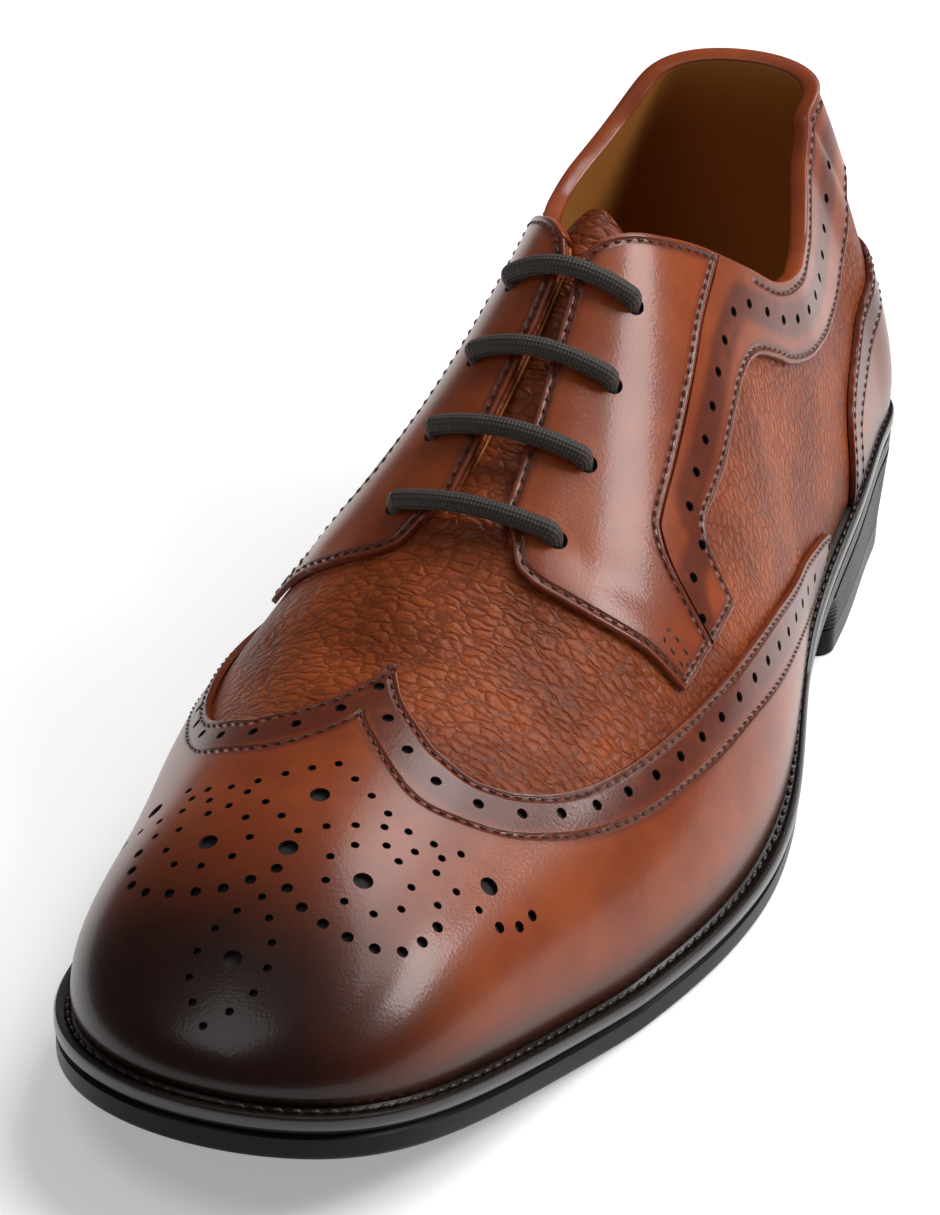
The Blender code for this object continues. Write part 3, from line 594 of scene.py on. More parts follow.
@dataclass(frozen=True)
class BraidedCord(Finish):
    """Waxed cotton braid: two sets of strands that cross at a slant, dark brown."""

    name: str = "braided_cord"
    strand: str = "38281F"
    # painted shade: near-black colour in the grooves between the strands
    gap: str = "0E0705"
    strands_round: float = 14.0
    braid_mm: float = 1.3
    height: float = 0.00014
    roughness: float = 0.62
    sheen: float = 0.08

    def shade(self, tree: Tree, shader: bpy.types.Node) -> None:
        """Cross two slanted sine waves in the piece's own map, where v is millimetres along the cord, and
        paint shade into the grooves between the strands.
        """
        uv = add_node(tree, "ShaderNodeUVMap", uv_map="cord")
        parts = add_node(tree, "ShaderNodeSeparateXYZ", {"Vector": uv.outputs["UV"]})
        turn = arithmetic(tree, "MULTIPLY", parts.outputs["X"], 2 * math.pi * self.strands_round / 2)
        run = arithmetic(tree, "MULTIPLY", parts.outputs["Y"], 2 * math.pi / self.braid_mm)
        left, right = (arithmetic(tree, "SINE", arithmetic(tree, way, turn, run), 0.0)
                       for way in ("ADD", "SUBTRACT"))
        woven = ramp(tree, arithmetic(tree, "MULTIPLY", left, right), -0.7, 0.7)
        # painted shade: the pattern darkens to the colour gap in the grooves between the strands
        feed(tree, shader, {
            "Base Color": mixed(tree, woven, linear(self.gap), linear(self.strand)),
            "Roughness": self.roughness, "Sheen Weight": self.sheen,
            "Normal": bump(tree, woven, self.height),
        })


@dataclass(frozen=True)
class LiningLeather(Finish):
    """Tan vegetable-tanned lining, clouded paler at random, with painted shade that darkens it towards the
    bottom deep inside and a faint painted glow for the light bounced inside.
    """

    name: str = "lining_leather"
    pale: str = "E6A555"
    tan: str = "CC883A"
    # painted shade: the colour the lining takes below the height low, deep inside the shoe
    deep: str = "401906"
    low: float = 0.035
    high: float = 0.088
    # painted glow: emission strength of the lining's own colour, standing in for light bounced inside
    painted_bounce_glow: float = 0.07
    roughness: float = 0.42
    specular: float = 0.3
    grain_height: float = 0.00003

    def shade(self, tree: Tree, shader: bpy.types.Node) -> None:
        """Cloud the tan, paint shade that darkens it towards the bottom, and add a faint painted glow for the
        light that bounces inside.
        """
        place = object_place(tree)
        cloud = ramp(tree, noise(tree, place, 55.0, 4.0), 0.35, 0.68)
        colour = mixed(tree, cloud, linear(self.tan), linear(self.pale))
        height = add_node(tree, "ShaderNodeSeparateXYZ", {"Vector": place}).outputs["Z"]
        # painted shade: full colour above the height high, darkening to the colour deep at the height low
        colour = mixed(tree, ramp(tree, height, self.low, self.high), linear(self.deep), colour)
        # painted glow: the lining gives out a little of its own colour
        feed(tree, shader, {
            "Base Color": colour, "Emission Color": colour, "Emission Strength": self.painted_bounce_glow,
            "Roughness": self.roughness, "Specular IOR Level": self.specular,
            "Normal": bump(tree, noise(tree, place, 1600.0, 3.0), self.grain_height),
        })


CALF = BurnishedCalf()
PEBBLED = PebbledLeather()
LINING = LiningLeather()
SOCK = PlainSkin("sock_leather", "96602E", "7E4C22", 0.5, 0.6, 0.00003)
# painted shade: near-black walls and floors of the punched holes, where a hole's inside falls into shade
PAINTED_HOLE_SHADE = PlainSkin("punched_hole_painted_shade", "1C0A06", "120503", 0.8, 0.5, 0.00002)
WELT = PlainSkin("waxed_welt", "180D09", "0D0705", 0.30, 0.7, 0.00004, coat=0.25)
RUBBER = PlainSkin("moulded_rubber", "0D0D0C", "080807", 0.36, 0.35, 0.00002, specular=0.12)
THREAD = PlainSkin("waxed_thread", "3C1A10", "28100A", 0.5, 0.25, 0.00003)
WELT_THREAD = PlainSkin("welt_thread", "3A2A22", "241914", 0.4, 0.25, 0.00003)
CORD = BraidedCord()


def nearest(points: Array, line: Array) -> Array:
    """Give each point's distance to the nearest point of a dense line.

    The squared distance is taken as a squared + b squared - 2 a b, in slices that fit in memory.
    """
    flat, size = points.reshape(-1, 3), (line ** 2).sum(-1)
    found = [(size - 2 * part @ line.T).min(1) + (part ** 2).sum(-1)
             for part in np.array_split(flat, max(1, len(flat) * len(line) // 8_000_000))]
    return np.sqrt(np.maximum(np.concatenate(found), 0)).reshape(points.shape[:-1])


def grid_quads(columns: int, rows: int, closed: bool) -> Array:
    """Give the quads of a grid whose points run up each column."""
    i = np.arange(columns if closed else columns - 1)[:, None]
    k = np.arange(rows - 1)[None]
    j = (i + 1) % columns
    return np.stack([i * rows + k, j * rows + k, j * rows + k + 1, i * rows + k + 1], -1).reshape(-1, 4)


def add_piece(name: str, points: Array, faces: Sequence, finishes: Sequence[Finish],
              weld: float = 0.0) -> bpy.types.Object:
    """Make an object from points and faces, with its faces turned outward.

    Args:
        name: Name of the piece.
        points: Points, three numbers each.
        faces: Corner numbers of each face.
        finishes: Finishes, one for each material slot.
        weld: Points closer than this become one.

    Returns:
        The object, linked to the scene.
    """
    mesh = bpy.data.meshes.new(name)
    mesh.from_pydata(points.reshape(-1, 3).tolist(), [], [tuple(map(int, face)) for face in faces])
    shape = bmesh.new()
    shape.from_mesh(mesh)
    if weld:
        bmesh.ops.remove_doubles(shape, verts=shape.verts, dist=weld)
        bmesh.ops.dissolve_degenerate(shape, edges=shape.edges, dist=TINY)
    bmesh.ops.recalc_face_normals(shape, faces=shape.faces)
    shape.to_mesh(mesh)
    shape.free()
    mesh.shade_smooth()
    item = bpy.data.objects.new(name, mesh)
    bpy.context.scene.collection.objects.link(item)
    for finish in finishes:
        mesh.materials.append(finish.material())
    return item


def vertex_places(item: bpy.types.Object) -> Array:
    """Give the places of a mesh's points."""
    places = np.empty(len(item.data.vertices) * 3, np.float32)
    item.data.vertices.foreach_get("co", places)
    return places.reshape(-1, 3).astype(float)


def set_attribute(item: bpy.types.Object, name: str, values: Array) -> None:
    """Store one number for each point of a mesh."""
    attribute = item.data.attributes.new(name, "FLOAT", "POINT")
    attribute.data.foreach_set("value", values.astype(np.float32))


def sheet_solid(name: str, top: Array, bottom: Array, finishes: Sequence[Finish], closed: bool = False,
                weld: float = TINY) -> bpy.types.Object:
    """Close the space between two grids into a solid, with walls along the open borders.

    Args:
        name: Name of the piece.
        top: Grid of points, columns by rows.
        bottom: Grid of the same size.
        finishes: Finishes of the piece.
        closed: Whether the last column meets the first.
        weld: Points closer than this become one.

    Returns:
        The object.
    """
    columns, rows = top.shape[:2]
    size = columns * rows
    upper = grid_quads(columns, rows, closed)
    both = np.concatenate([top.reshape(-1, 3), bottom.reshape(-1, 3)])
    order = np.arange(size).reshape(columns, rows)
    borders = [order[:, 0], order[::-1, -1]]
    if closed:
        borders = [np.append(line, line[0]) for line in borders]
    else:
        borders += [order[0, ::-1], order[-1]]
    walls = [np.stack([line[:-1], line[1:], line[1:] + size, line[:-1] + size], -1) for line in borders]
    walls = np.concatenate(walls)
    middles = np.round(both[walls].mean(1) / (2 * weld)).astype(int)
    _, which, count = np.unique(middles, axis=0, return_inverse=True, return_counts=True)
    faces = np.concatenate([upper, upper[:, ::-1] + size, walls[count[which.ravel()] == 1]])
    return add_piece(name, both, faces, finishes, weld)


def tube(name: str, centre: Array, first: Array, second: Array, sides: int, finish: Finish,
         closed: bool = False) -> bpy.types.Object:
    """Carry an ellipse along a path, ring = centre + first * cos(turn) + second * sin(turn).

    The map named cord holds the share of a turn and the millimetres along the path.

    Args:
        name: Name of the piece.
        centre: Points of the path.
        first: First half axis at each point.
        second: Second half axis at each point.
        sides: Points round each ring.
        finish: Finish of the piece.
        closed: Whether the path ends where it starts.

    Returns:
        The object.
    """
    turn = np.linspace(0, 2 * np.pi, sides, endpoint=False)
    rings = centre[:, None] + np.cos(turn)[None, :, None] * first[:, None]
    rings = rings + np.sin(turn)[None, :, None] * second[:, None]
    count = len(centre)
    i = np.arange(count if closed else count - 1)[:, None]
    k = np.arange(sides)[None]
    ahead, beside = (i + 1) % count, (k + 1) % sides
    corners = [i * sides + k, ahead * sides + k, ahead * sides + beside, i * sides + beside]
    faces = np.stack(np.broadcast_arrays(*corners), -1).reshape(-1, 4).tolist()
    if not closed:
        faces += [list(range(sides)), list(range(len(centre) * sides - sides, len(centre) * sides))[::-1]]
    item = add_piece(name, rings, faces, [finish])
    along = np.concatenate([[0], np.cumsum(np.linalg.norm(np.diff(centre, axis=0), axis=1))]) / MM
    corner_of = np.empty(len(item.data.loops), int)
    item.data.loops.foreach_get("vertex_index", corner_of)
    share = (corner_of % sides) / sides
    first_corner = np.repeat([face.loop_start for face in item.data.polygons],
                             [face.loop_total for face in item.data.polygons])
    share = np.where(share < share[first_corner] - 0.5, share + 1, share)
    share = np.where(share > share[first_corner] + 0.5, share - 1, share)
    chart = item.data.uv_layers.new(name="cord")
    chart.data.foreach_set("uv", np.stack([share, along[corner_of // sides]], -1).astype(np.float32).ravel())
    return item


@dataclass
class SurfaceLine:
    """A line that runs on the leather, with the outward direction at each of its points."""

    points: Array
    normals: Array

    @classmethod
    def on(cls, last: Last, angle: Array, side: Array, up: Array, lift: float = 0.0) -> "SurfaceLine":
        """Lay a line on the leather at a lift over the last."""
        return cls(last.leather(angle, side, up, lift), last.normal(angle, side, up))

    def lengths(self) -> Array:
        """Give the distance along the line at each point."""
        steps = np.linalg.norm(np.diff(self.points, axis=0), axis=1)
        return np.concatenate([[0], np.cumsum(steps)])

    def read(self, at: Array) -> tuple[Array, Array, Array]:
        """Read the line at distances along it.

        Args:
            at: Distances from its start.

        Returns:
            Points, tangents and normals.
        """
        along = self.lengths()
        points = np.stack([np.interp(at, along, self.points[:, i]) for i in range(3)], -1)
        normals = np.stack([np.interp(at, along, self.normals[:, i]) for i in range(3)], -1)
        slopes = np.gradient(self.points, along + np.arange(len(along)) * NO_ZERO, axis=0)
        tangents = np.stack([np.interp(at, along, slopes[:, i]) for i in range(3)], -1)
        tangents /= np.linalg.norm(tangents, axis=-1, keepdims=True) + NO_ZERO
        normals -= (normals * tangents).sum(-1, keepdims=True) * tangents
        normals /= np.linalg.norm(normals, axis=-1, keepdims=True) + NO_ZERO
        return points, tangents, normals

    def even(self, step: float) -> "SurfaceLine":
        """Give the same line with evenly spaced points."""
        whole = self.lengths()[-1]
        points, _, normals = self.read(np.linspace(0, whole, max(2, int(whole / step) + 1)))
        return SurfaceLine(points, normals)

    def beside(self, distance: float) -> "SurfaceLine":
        """Give a line at a distance beside this one, square to it in the leather's plane."""
        smooth = self.even(0.6 * MM)
        points, tangents, normals = smooth.read(smooth.lengths())
        return SurfaceLine(points + np.cross(normals, tangents) * distance, normals)

    def holes(self, at: Array, diameter: float) -> "list[Hole]":
        """Place holes at distances along the line."""
        points, _, normals = self.read(at)
        return [Hole(point, normal, diameter) for point, normal in zip(points, normals)]

    def settled(self, points: Array, normals: Array) -> "SurfaceLine":
        """Drop the line onto a surface, given as dense points with their outward directions.

        Each point moves along the direction d of the surface's nearest point g, p - ((p - g) . d) d.
        """
        flat = points.reshape(-1, 3)
        near = ((flat ** 2).sum(-1) - 2 * self.points @ flat.T).argmin(1)
        out = normals.reshape(-1, 3)[near]
        off = ((self.points - flat[near]) * out).sum(-1, keepdims=True)
        return SurfaceLine(self.points - off * out, out)


@dataclass(frozen=True)
class Thread:
    """Stitches of one thread: pitch, length and thickness."""

    pitch: float = 2.5 * MM
    stitch: float = 1.75 * MM
    radius: float = 0.24 * MM
    rise: float = 0.09 * MM
    sections: int = 4
    sides: int = 5

    def sew(self, line: SurfaceLine) -> tuple[Array, Array]:
        """Sew a row along a line.

        Each stitch is a short tube. Its centre rises over the leather as a sine arch, its radius swells
        as the root of the same sine, and both ends dip under the surface.

        Args:
            line: Line to sew along.

        Returns:
            Points and faces of all stitches in the row.
        """
        whole = line.lengths()[-1]
        count = max(1, int(whole / self.pitch))
        starts = (np.arange(count) + 0.5) * whole / count - self.stitch / 2
        share = np.linspace(0.06, 0.94, self.sections)
        centre, tangent, normal = line.read((starts[:, None] + share[None] * self.stitch).ravel())
        arch = np.tile(np.sin(np.pi * share), count)
        aside = np.cross(tangent, normal)
        turn = np.linspace(0, 2 * np.pi, self.sides, endpoint=False)
        centre = centre + normal * (arch * self.rise * 2 - self.rise)[:, None]
        radius = (self.radius * np.sqrt(arch))[:, None, None]
        ring = np.cos(turn)[None, :, None] * aside[:, None] + np.sin(turn)[None, :, None] * normal[:, None]
        points = (centre[:, None] + radius * ring).reshape(-1, 3)
        size = self.sections * self.sides
        tube = []
        for k in range(self.sections - 1):
            for i in range(self.sides):
                j = (i + 1) % self.sides
                a, b = k * self.sides, (k + 1) * self.sides
                tube.append((a + i, a + j, b + j))
                tube.append((a + i, b + j, b + i))
        for base, turned in ((0, 1), (size - self.sides, -1)):
            for i in range(1, self.sides - 1):
                tube.append((base, base + i + 1, base + i)[::turned])
        faces = np.array(tube)[None] + (np.arange(count) * size)[:, None, None]
        return points, faces.reshape(-1, 3)


def sewn_rows(name: str, thread: Thread, lines: Sequence[SurfaceLine], finish: Finish) -> bpy.types.Object:
    """Sew several rows with one thread into one piece."""
    points, faces, base = [], [], 0
    for line in lines:
        row_points, row_faces = thread.sew(line)
        points.append(row_points)
        faces.append(row_faces + base)
        base += len(row_points)
    return add_piece(name, np.concatenate(points), np.concatenate(faces), [finish])


@dataclass(frozen=True)
class Hole:
    """A punched hole: its place on the leather, the outward direction there and its diameter."""

    place: Array
    normal: Array
    diameter: float


@dataclass
class Punch:
    """Tool that presses round holes into a piece of leather."""

    depth: float = 1.0 * MM
    above: float = 1.0 * MM
    sides: int = 16

    def cutter(self, holes: Sequence[Hole]) -> bpy.types.Object:
        """Make all the pins of the punch as one object, each a short cylinder along its hole's axis."""
        places = np.array([hole.place for hole in holes])
        normals = np.array([hole.normal for hole in holes])
        radii = np.array([hole.diameter / 2 for hole in holes])
        helper = np.where(abs(normals[:, 2:]) < 0.9, [[0.0, 0.0, 1.0]], [[1.0, 0.0, 0.0]])
        aside = np.cross(normals, helper)
        aside /= np.linalg.norm(aside, axis=1, keepdims=True)
        other = np.cross(normals, aside)
        turn = np.linspace(0, 2 * np.pi, self.sides, endpoint=False)
        ring = np.cos(turn)[None, :, None] * aside[:, None] + np.sin(turn)[None, :, None] * other[:, None]
        rings = []
        for height in (-self.depth, self.above):
            rings.append(places[:, None] + ring * radii[:, None, None] + normals[:, None] * height)
        points = np.stack(rings, 1)
        faces = []
        for n in range(len(holes)):
            low, high = 2 * n * self.sides, (2 * n + 1) * self.sides
            faces.append(tuple(range(low, high))[::-1])
            faces.append(tuple(range(high, high + self.sides)))
            for i in range(self.sides):
                j = (i + 1) % self.sides
                faces.append((low + i, low + j, high + j, high + i))
        return add_piece("punch", points, faces, [PAINTED_HOLE_SHADE])

    def press(self, item: bpy.types.Object, holes: Sequence[Hole]) -> None:
        """Press the holes into a piece; their walls and floors take the piece's second finish, which on the
        overlays is a near-black painted shade.
        """
        tool = self.cutter(holes)
        tool.data.polygons.foreach_set("material_index", [1] * len(tool.data.polygons))
        cut = item.modifiers.new("punch", "BOOLEAN")
        cut.operation, cut.solver, cut.object = "DIFFERENCE", "MANIFOLD", tool
        done = bpy.data.meshes.new_from_object(item.evaluated_get(bpy.context.evaluated_depsgraph_get()))
        item.modifiers.clear()
        old, item.data = item.data, done
        bpy.data.meshes.remove(old)
        bpy.data.objects.remove(tool, do_unlink=True)
        done.set_sharp_from_angle(angle=math.radians(40))


@dataclass
class Shoe:
    """What all sub-assemblies share: the last, the leather's thicknesses and how a piece joins the part."""

    last: Last = field(default_factory=Last)
    overlay_thick: float = 1.2 * MM
    edge_round: float = 0.4 * MM
    wall: float = 2.2 * MM
    lining_thick: float = 0.9 * MM

    @property
    def face(self) -> float:
        """Height of an overlay's outer face over the last."""
        return GAP + self.overlay_thick

    def join(self, item: bpy.types.Object, slot: str, *nodes: str) -> bpy.types.Object:
        """Fasten a piece to the part's one body and hide what it stands for."""
        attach(item, "root")
        if nodes:
            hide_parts(*nodes)
        LOG.info("%s: %d faces", item.name, len(item.data.polygons))
        return item

    def overlay(self, name: str, angle: Array, side: Array, up: Array, free: Sequence[SurfaceLine],
                seams: Sequence[SurfaceLine], holes: Sequence[Hole] = (),
                bands: Sequence[SurfaceLine] = ()) -> bpy.types.Object:
        """Make a piece of smooth calf that lies on the upper.

        The top face is lifted by the leather's thickness, less a quarter circle within a cut edge's
        rounding, so that lift = thickness - r + root(r squared - (r - distance) squared).

        Args:
            name: Name of the piece.
            angle: Grid of angles round the outline.
            side: Grid of sides.
            up: Grid of heights up the section.
            free: Its cut edges.
            seams: Stitched rows near it.
            holes: Holes punched into it.
            bands: Middle lines of its darker punched bands.

        Returns:
            The object.
        """
        base = self.last.leather(angle, side, up, 0.0)
        edge_points = np.concatenate([line.points for line in free])
        edge = nearest(base, edge_points)
        r = self.edge_round
        rounding = r - np.sqrt(np.maximum(r * r - np.maximum(r - edge, 0) ** 2, 0))
        top = self.last.leather(angle, side, up, self.face - rounding)
        bottom = self.last.leather(angle, side, up, GAP)
        # the second finish is the painted shade inside the punched holes
        item = sheet_solid(name, top, bottom, [CALF, PAINTED_HOLE_SHADE])
        if holes:
            Punch().press(item, holes)
        self.mark(item, free, seams, bands)
        return item

    def mark(self, item: bpy.types.Object, edges: Sequence[SurfaceLine], seams: Sequence[SurfaceLine],
             bands: Sequence[SurfaceLine] = ()) -> None:
        """Store the distances to edges, seams and bands in millimetres, and the burnish."""
        places = vertex_places(item)
        for name, lines in (("edge", edges), ("seam", seams), ("band", bands)):
            far = np.full(len(places), UNMARKED_MM)
            found = nearest(places, np.concatenate([line.points for line in lines])) / MM if lines else far
            set_attribute(item, name, found)
        set_attribute(item, "burnish", self.burnish(places))

    def burnish(self, places: Array) -> Array:
        """Give how dark the polish is: most at the toe's tip, some above the welt and at the heel."""
        tip = self.last.place(np.array(self.toe_axis), np.array(self.last.length), np.array(0.020))
        aside = places - tip
        from_tip = np.linalg.norm(aside * np.array([0.8, 1.0, 0.8]), axis=-1) + 0.08 * aside[..., 0]
        toe = 1 - smoothstep(from_tip, 0.010, 0.070)
        station = np.clip((self.last.shift[1] - places[:, 1]) / self.last.length, 0, 1)
        height = places[:, 2] - self.last.underside(station) - self.last.sole_thick - self.last.welt_thick
        low = 0.8 * (1 - smoothstep(height, 0.000, 0.014))
        heel = 0.55 * (1 - smoothstep(station, 0.02, 0.24)) * (1 - smoothstep(height, 0.030, 0.060))
        return np.clip(np.maximum(np.maximum(toe, low), heel), 0, 1)

    @property
    def toe_axis(self) -> float:
        """Place across the last where the toe's middle line runs."""
        return float(self.last.ridge_shift(np.array(0.9))[0])


def cosine(count: int) -> Array:
    """Give shares from 0 to 1 that crowd towards both ends, as a cosine does."""
    return (1 - np.cos(np.linspace(0, np.pi, count))) / 2


@dataclass
class WingCap:
    """Smooth toe cap with two wings, a punched band along its edge and a medallion on the toe."""

    shoe: Shoe
    rows: int = 120
    columns: int = 260
    thread: Thread = field(default_factory=Thread)
    band_hole: float = 2.1 * MM
    band_pitch: float = 8.4 * MM
    row_inset: float = 1.3 * MM
    # height up the section, station of the cap's edge on the lateral and the medial side
    edge_rows: tuple = (
        (0.000, 0.300, 0.300), (0.035, 0.278, 0.278), (0.065, 0.273, 0.276), (0.090, 0.287, 0.296),
        (0.121, 0.315, 0.330), (0.204, 0.390, 0.425), (0.321, 0.490, 0.575), (0.388, 0.578, 0.660),
        (0.429, 0.648, 0.699), (0.471, 0.698, 0.722), (0.508, 0.725, 0.734), (0.567, 0.750, 0.746),
        (0.613, 0.763, 0.752), (0.696, 0.774, 0.762), (0.787, 0.770, 0.763), (0.858, 0.757, 0.756),
        (0.929, 0.739, 0.741), (0.975, 0.719, 0.721), (1.000, 0.707, 0.707),
    )
    # station and height of the row of stitches at the band's far side, from the peak to the wing's end
    lateral_rows: tuple = (
        (0.766, 1.000), (0.777, 0.985), (0.806, 0.900), (0.829, 0.775), (0.818, 0.654), (0.795, 0.546),
        (0.771, 0.477), (0.741, 0.415), (0.706, 0.368), (0.667, 0.337), (0.600, 0.305), (0.529, 0.262),
        (0.422, 0.150), (0.345, 0.050), (0.303, 0.004),
    )
    medial_rows: tuple = (
        (0.766, 1.000), (0.777, 0.985), (0.801, 0.915), (0.812, 0.829), (0.808, 0.740), (0.799, 0.675),
        (0.780, 0.550), (0.753, 0.458), (0.735, 0.415), (0.700, 0.352), (0.650, 0.290), (0.580, 0.235),
        (0.500, 0.175), (0.420, 0.110), (0.345, 0.040), (0.303, 0.004),
    )

    def edge(self, side: Side) -> Curve:
        """Give the station of the cap's edge on one side as a curve of the height up the section."""
        ups, lateral, medial = np.array(self.edge_rows).T
        return monotone(ups, lateral if side is Side.LATERAL else medial)

    def edge_line(self, side: Side, lift: float) -> SurfaceLine:
        """Lay the cap's cut edge on one side, from the welt to the peak."""
        dense = np.linspace(0, 1, 600)
        return SurfaceLine.on(self.shoe.last, angle_of(self.edge(side)(dense)), side.value, dense, lift)

    def band_line(self, side: Side, lift: float) -> SurfaceLine:
        """Lay the band's far row on one side, from the peak to the welt."""
        stations, ups = np.array(self.lateral_rows if side is Side.LATERAL else self.medial_rows).T
        share = np.linspace(0, 1, len(stations))
        dense = np.linspace(0, 1, 600)
        station, up = spline(share, stations)(dense)[0], spline(share, ups)(dense)[0]
        return SurfaceLine.on(self.shoe.last, angle_of(station), side.value, np.clip(up, 0, 1), lift)

    def middle_line(self, side: Side) -> SurfaceLine:
        """Give the line midway between the cap's edge and the band's far row."""
        lift = self.shoe.face
        far = self.band_line(side, lift)
        near = self.edge_line(side, lift)
        near = SurfaceLine(near.points[::-1], near.normals[::-1])
        share = np.linspace(0, 1, 400)
        far_points, _, far_normals = far.read(share * far.lengths()[-1])
        near_points, _, near_normals = near.read(share * near.lengths()[-1])
        return SurfaceLine((far_points + near_points) / 2, far_normals + near_normals)

    def band_holes(self, side: Side) -> list[Hole]:
        """Place the band's holes evenly on its middle line; the lateral side has the one at the peak."""
        middle = self.middle_line(side)
        whole = middle.lengths()[-1]
        at = np.arange(self.band_pitch * 0.5, whole - 10 * MM, self.band_pitch)
        at = at + self.band_pitch * 0.5
        if side is Side.LATERAL:
            at = np.concatenate([[0.0], at])
        return middle.holes(at, self.band_hole)

    def build(self, holes: Sequence[Hole]) -> list[SurfaceLine]:
        """Make the cap with its holes and its stitches.

        Args:
            holes: Holes of the medallion.

        Returns:
            The stitched rows.
        """
        last = self.shoe.last
        lift = self.shoe.face
        up = np.linspace(0, 1, self.rows)
        halves = []
        for one in Side:
            first = angle_of(self.edge(one)(up))[None]
            halves.append(first + (np.pi - first) * cosine(self.columns)[:, None])
        angle = np.concatenate([halves[0], halves[1][-2::-1]])
        side = np.where(np.arange(len(angle)) < self.columns, 1.0, -1.0)[:, None] + 0 * angle
        edges = [self.edge_line(one, 0.0) for one in Side]
        rows = []
        for one in Side:
            turn = 1 if one is Side.LATERAL else -1
            rows.append(self.edge_line(one, lift).beside(turn * self.row_inset))
            rows.append(self.band_line(one, lift).beside(0.0))
        punched = list(holes) + self.band_holes(Side.LATERAL) + self.band_holes(Side.MEDIAL)
        cap = self.shoe.overlay("wing_cap_calf", angle, side, np.broadcast_to(up, angle.shape),
                                edges, rows, punched, [self.middle_line(one) for one in Side])
        self.shoe.join(cap, "smooth_calf", "wing_cap")
        self.shoe.join(sewn_rows("wing_cap_stitches", self.thread, rows, THREAD), "smooth_calf")
        return rows


@dataclass(frozen=True)
class PunchRow:
    """Row of holes along a smooth path on the toe, mirrored over its middle line.

    The path is given in millimetres, across from the middle line and back from the toe's tip.
    """

    path: tuple[tuple[float, float], ...]
    count: int
    diameter: float

    def places(self) -> Array:
        """Give evenly spaced places on a spline through the path, in metres."""
        path = np.array(self.path) * MM
        if len(path) == 1:
            return path
        share = np.linspace(0, 1, len(path))
        dense = np.linspace(0, 1, 300)
        line = np.stack([spline(share, path[:, i])(dense)[0] for i in (0, 1)], -1)
        along = np.concatenate([[0], np.cumsum(np.linalg.norm(np.diff(line, axis=0), axis=1))])
        at = np.linspace(0, along[-1], self.count)
        return np.stack([np.interp(at, along, line[:, i]) for i in (0, 1)], -1)


@dataclass
class Medallion:
    """Pattern of punched holes on the toe: a traditional rosette of rings, arcs and large dots."""

    shoe: Shoe
    small: float = 1.5 * MM
    medium: float = 2.1 * MM
    large: float = 3.5 * MM
    aside: float = 2.3 * MM
    forward: float = 1.3 * MM

    def rows(self) -> list[PunchRow]:
        """List the pattern's rows on one side of the toe."""
        s, m, g = self.small, self.medium, self.large
        return [
            PunchRow(((0, 53.6),), 1, g), PunchRow(((0, 40.0),), 1, g), PunchRow(((0, 16.8),), 1, g),
            PunchRow(((14.0, 38.7),), 1, g), PunchRow(((31.0, 54.0),), 1, g),
            PunchRow(((0, 62.0), (8.0, 57.1), (16.7, 53.2), (25.2, 55.3)), 7, s),
            PunchRow(((0, 44.1), (6.3, 48.2), (12.6, 51.7)), 4, s),
            PunchRow(((18.9, 50.0), (23.0, 52.0)), 2, s),
            PunchRow(((14.4, 48.0), (7.8, 42.4), (9.2, 35.1), (18.0, 33.6), (21.8, 41.0), (17.4, 46.2)),
                     9, s),
            PunchRow(((0, 35.2), (7.0, 29.2), (16.3, 27.3), (24.3, 30.4), (27.3, 39.4)), 9, m),
            PunchRow(((23.3, 48.6), (27.4, 47.9), (31.2, 48.5)), 3, s), PunchRow(((25.8, 43.0),), 1, s),
            PunchRow(((34.7, 49.5), (37.1, 53.7), (37.8, 57.2)), 3, m),
            PunchRow(((0, 29.0), (5.4, 20.8), (5.5, 12.0), (0, 5.5)), 7, s),
        ]

    def build(self) -> list[Hole]:
        """Find each hole's place on the leather, as the nearest point of a fine grid over the toe."""
        last = self.shoe.last
        angle, up = np.meshgrid(np.linspace(angle_of(0.72), np.pi, 420), np.linspace(0.02, 1, 320),
                                indexing="ij")
        angle, up = np.stack([angle, angle]), np.stack([up, up])
        side = np.broadcast_to(np.array([1.0, -1.0])[:, None, None], angle.shape)
        grid = last.leather(angle, side, up, self.shoe.face).reshape(-1, 3)
        normals = last.normal(angle, side, up).reshape(-1, 3)
        holes = []
        for row in self.rows():
            for across, from_tip in row.places():
                for mirror in ((1, -1) if across > 0.3 * MM else (1,)):
                    wanted = last.place(np.array(self.shoe.toe_axis + self.aside + mirror * across),
                                        np.array(last.length + self.forward - from_tip), np.array(0.0))
                    found = ((grid[:, :2] - wanted[:2]) ** 2).sum(-1).argmin()
                    holes.append(Hole(grid[found], normals[found], row.diameter))
        return holes


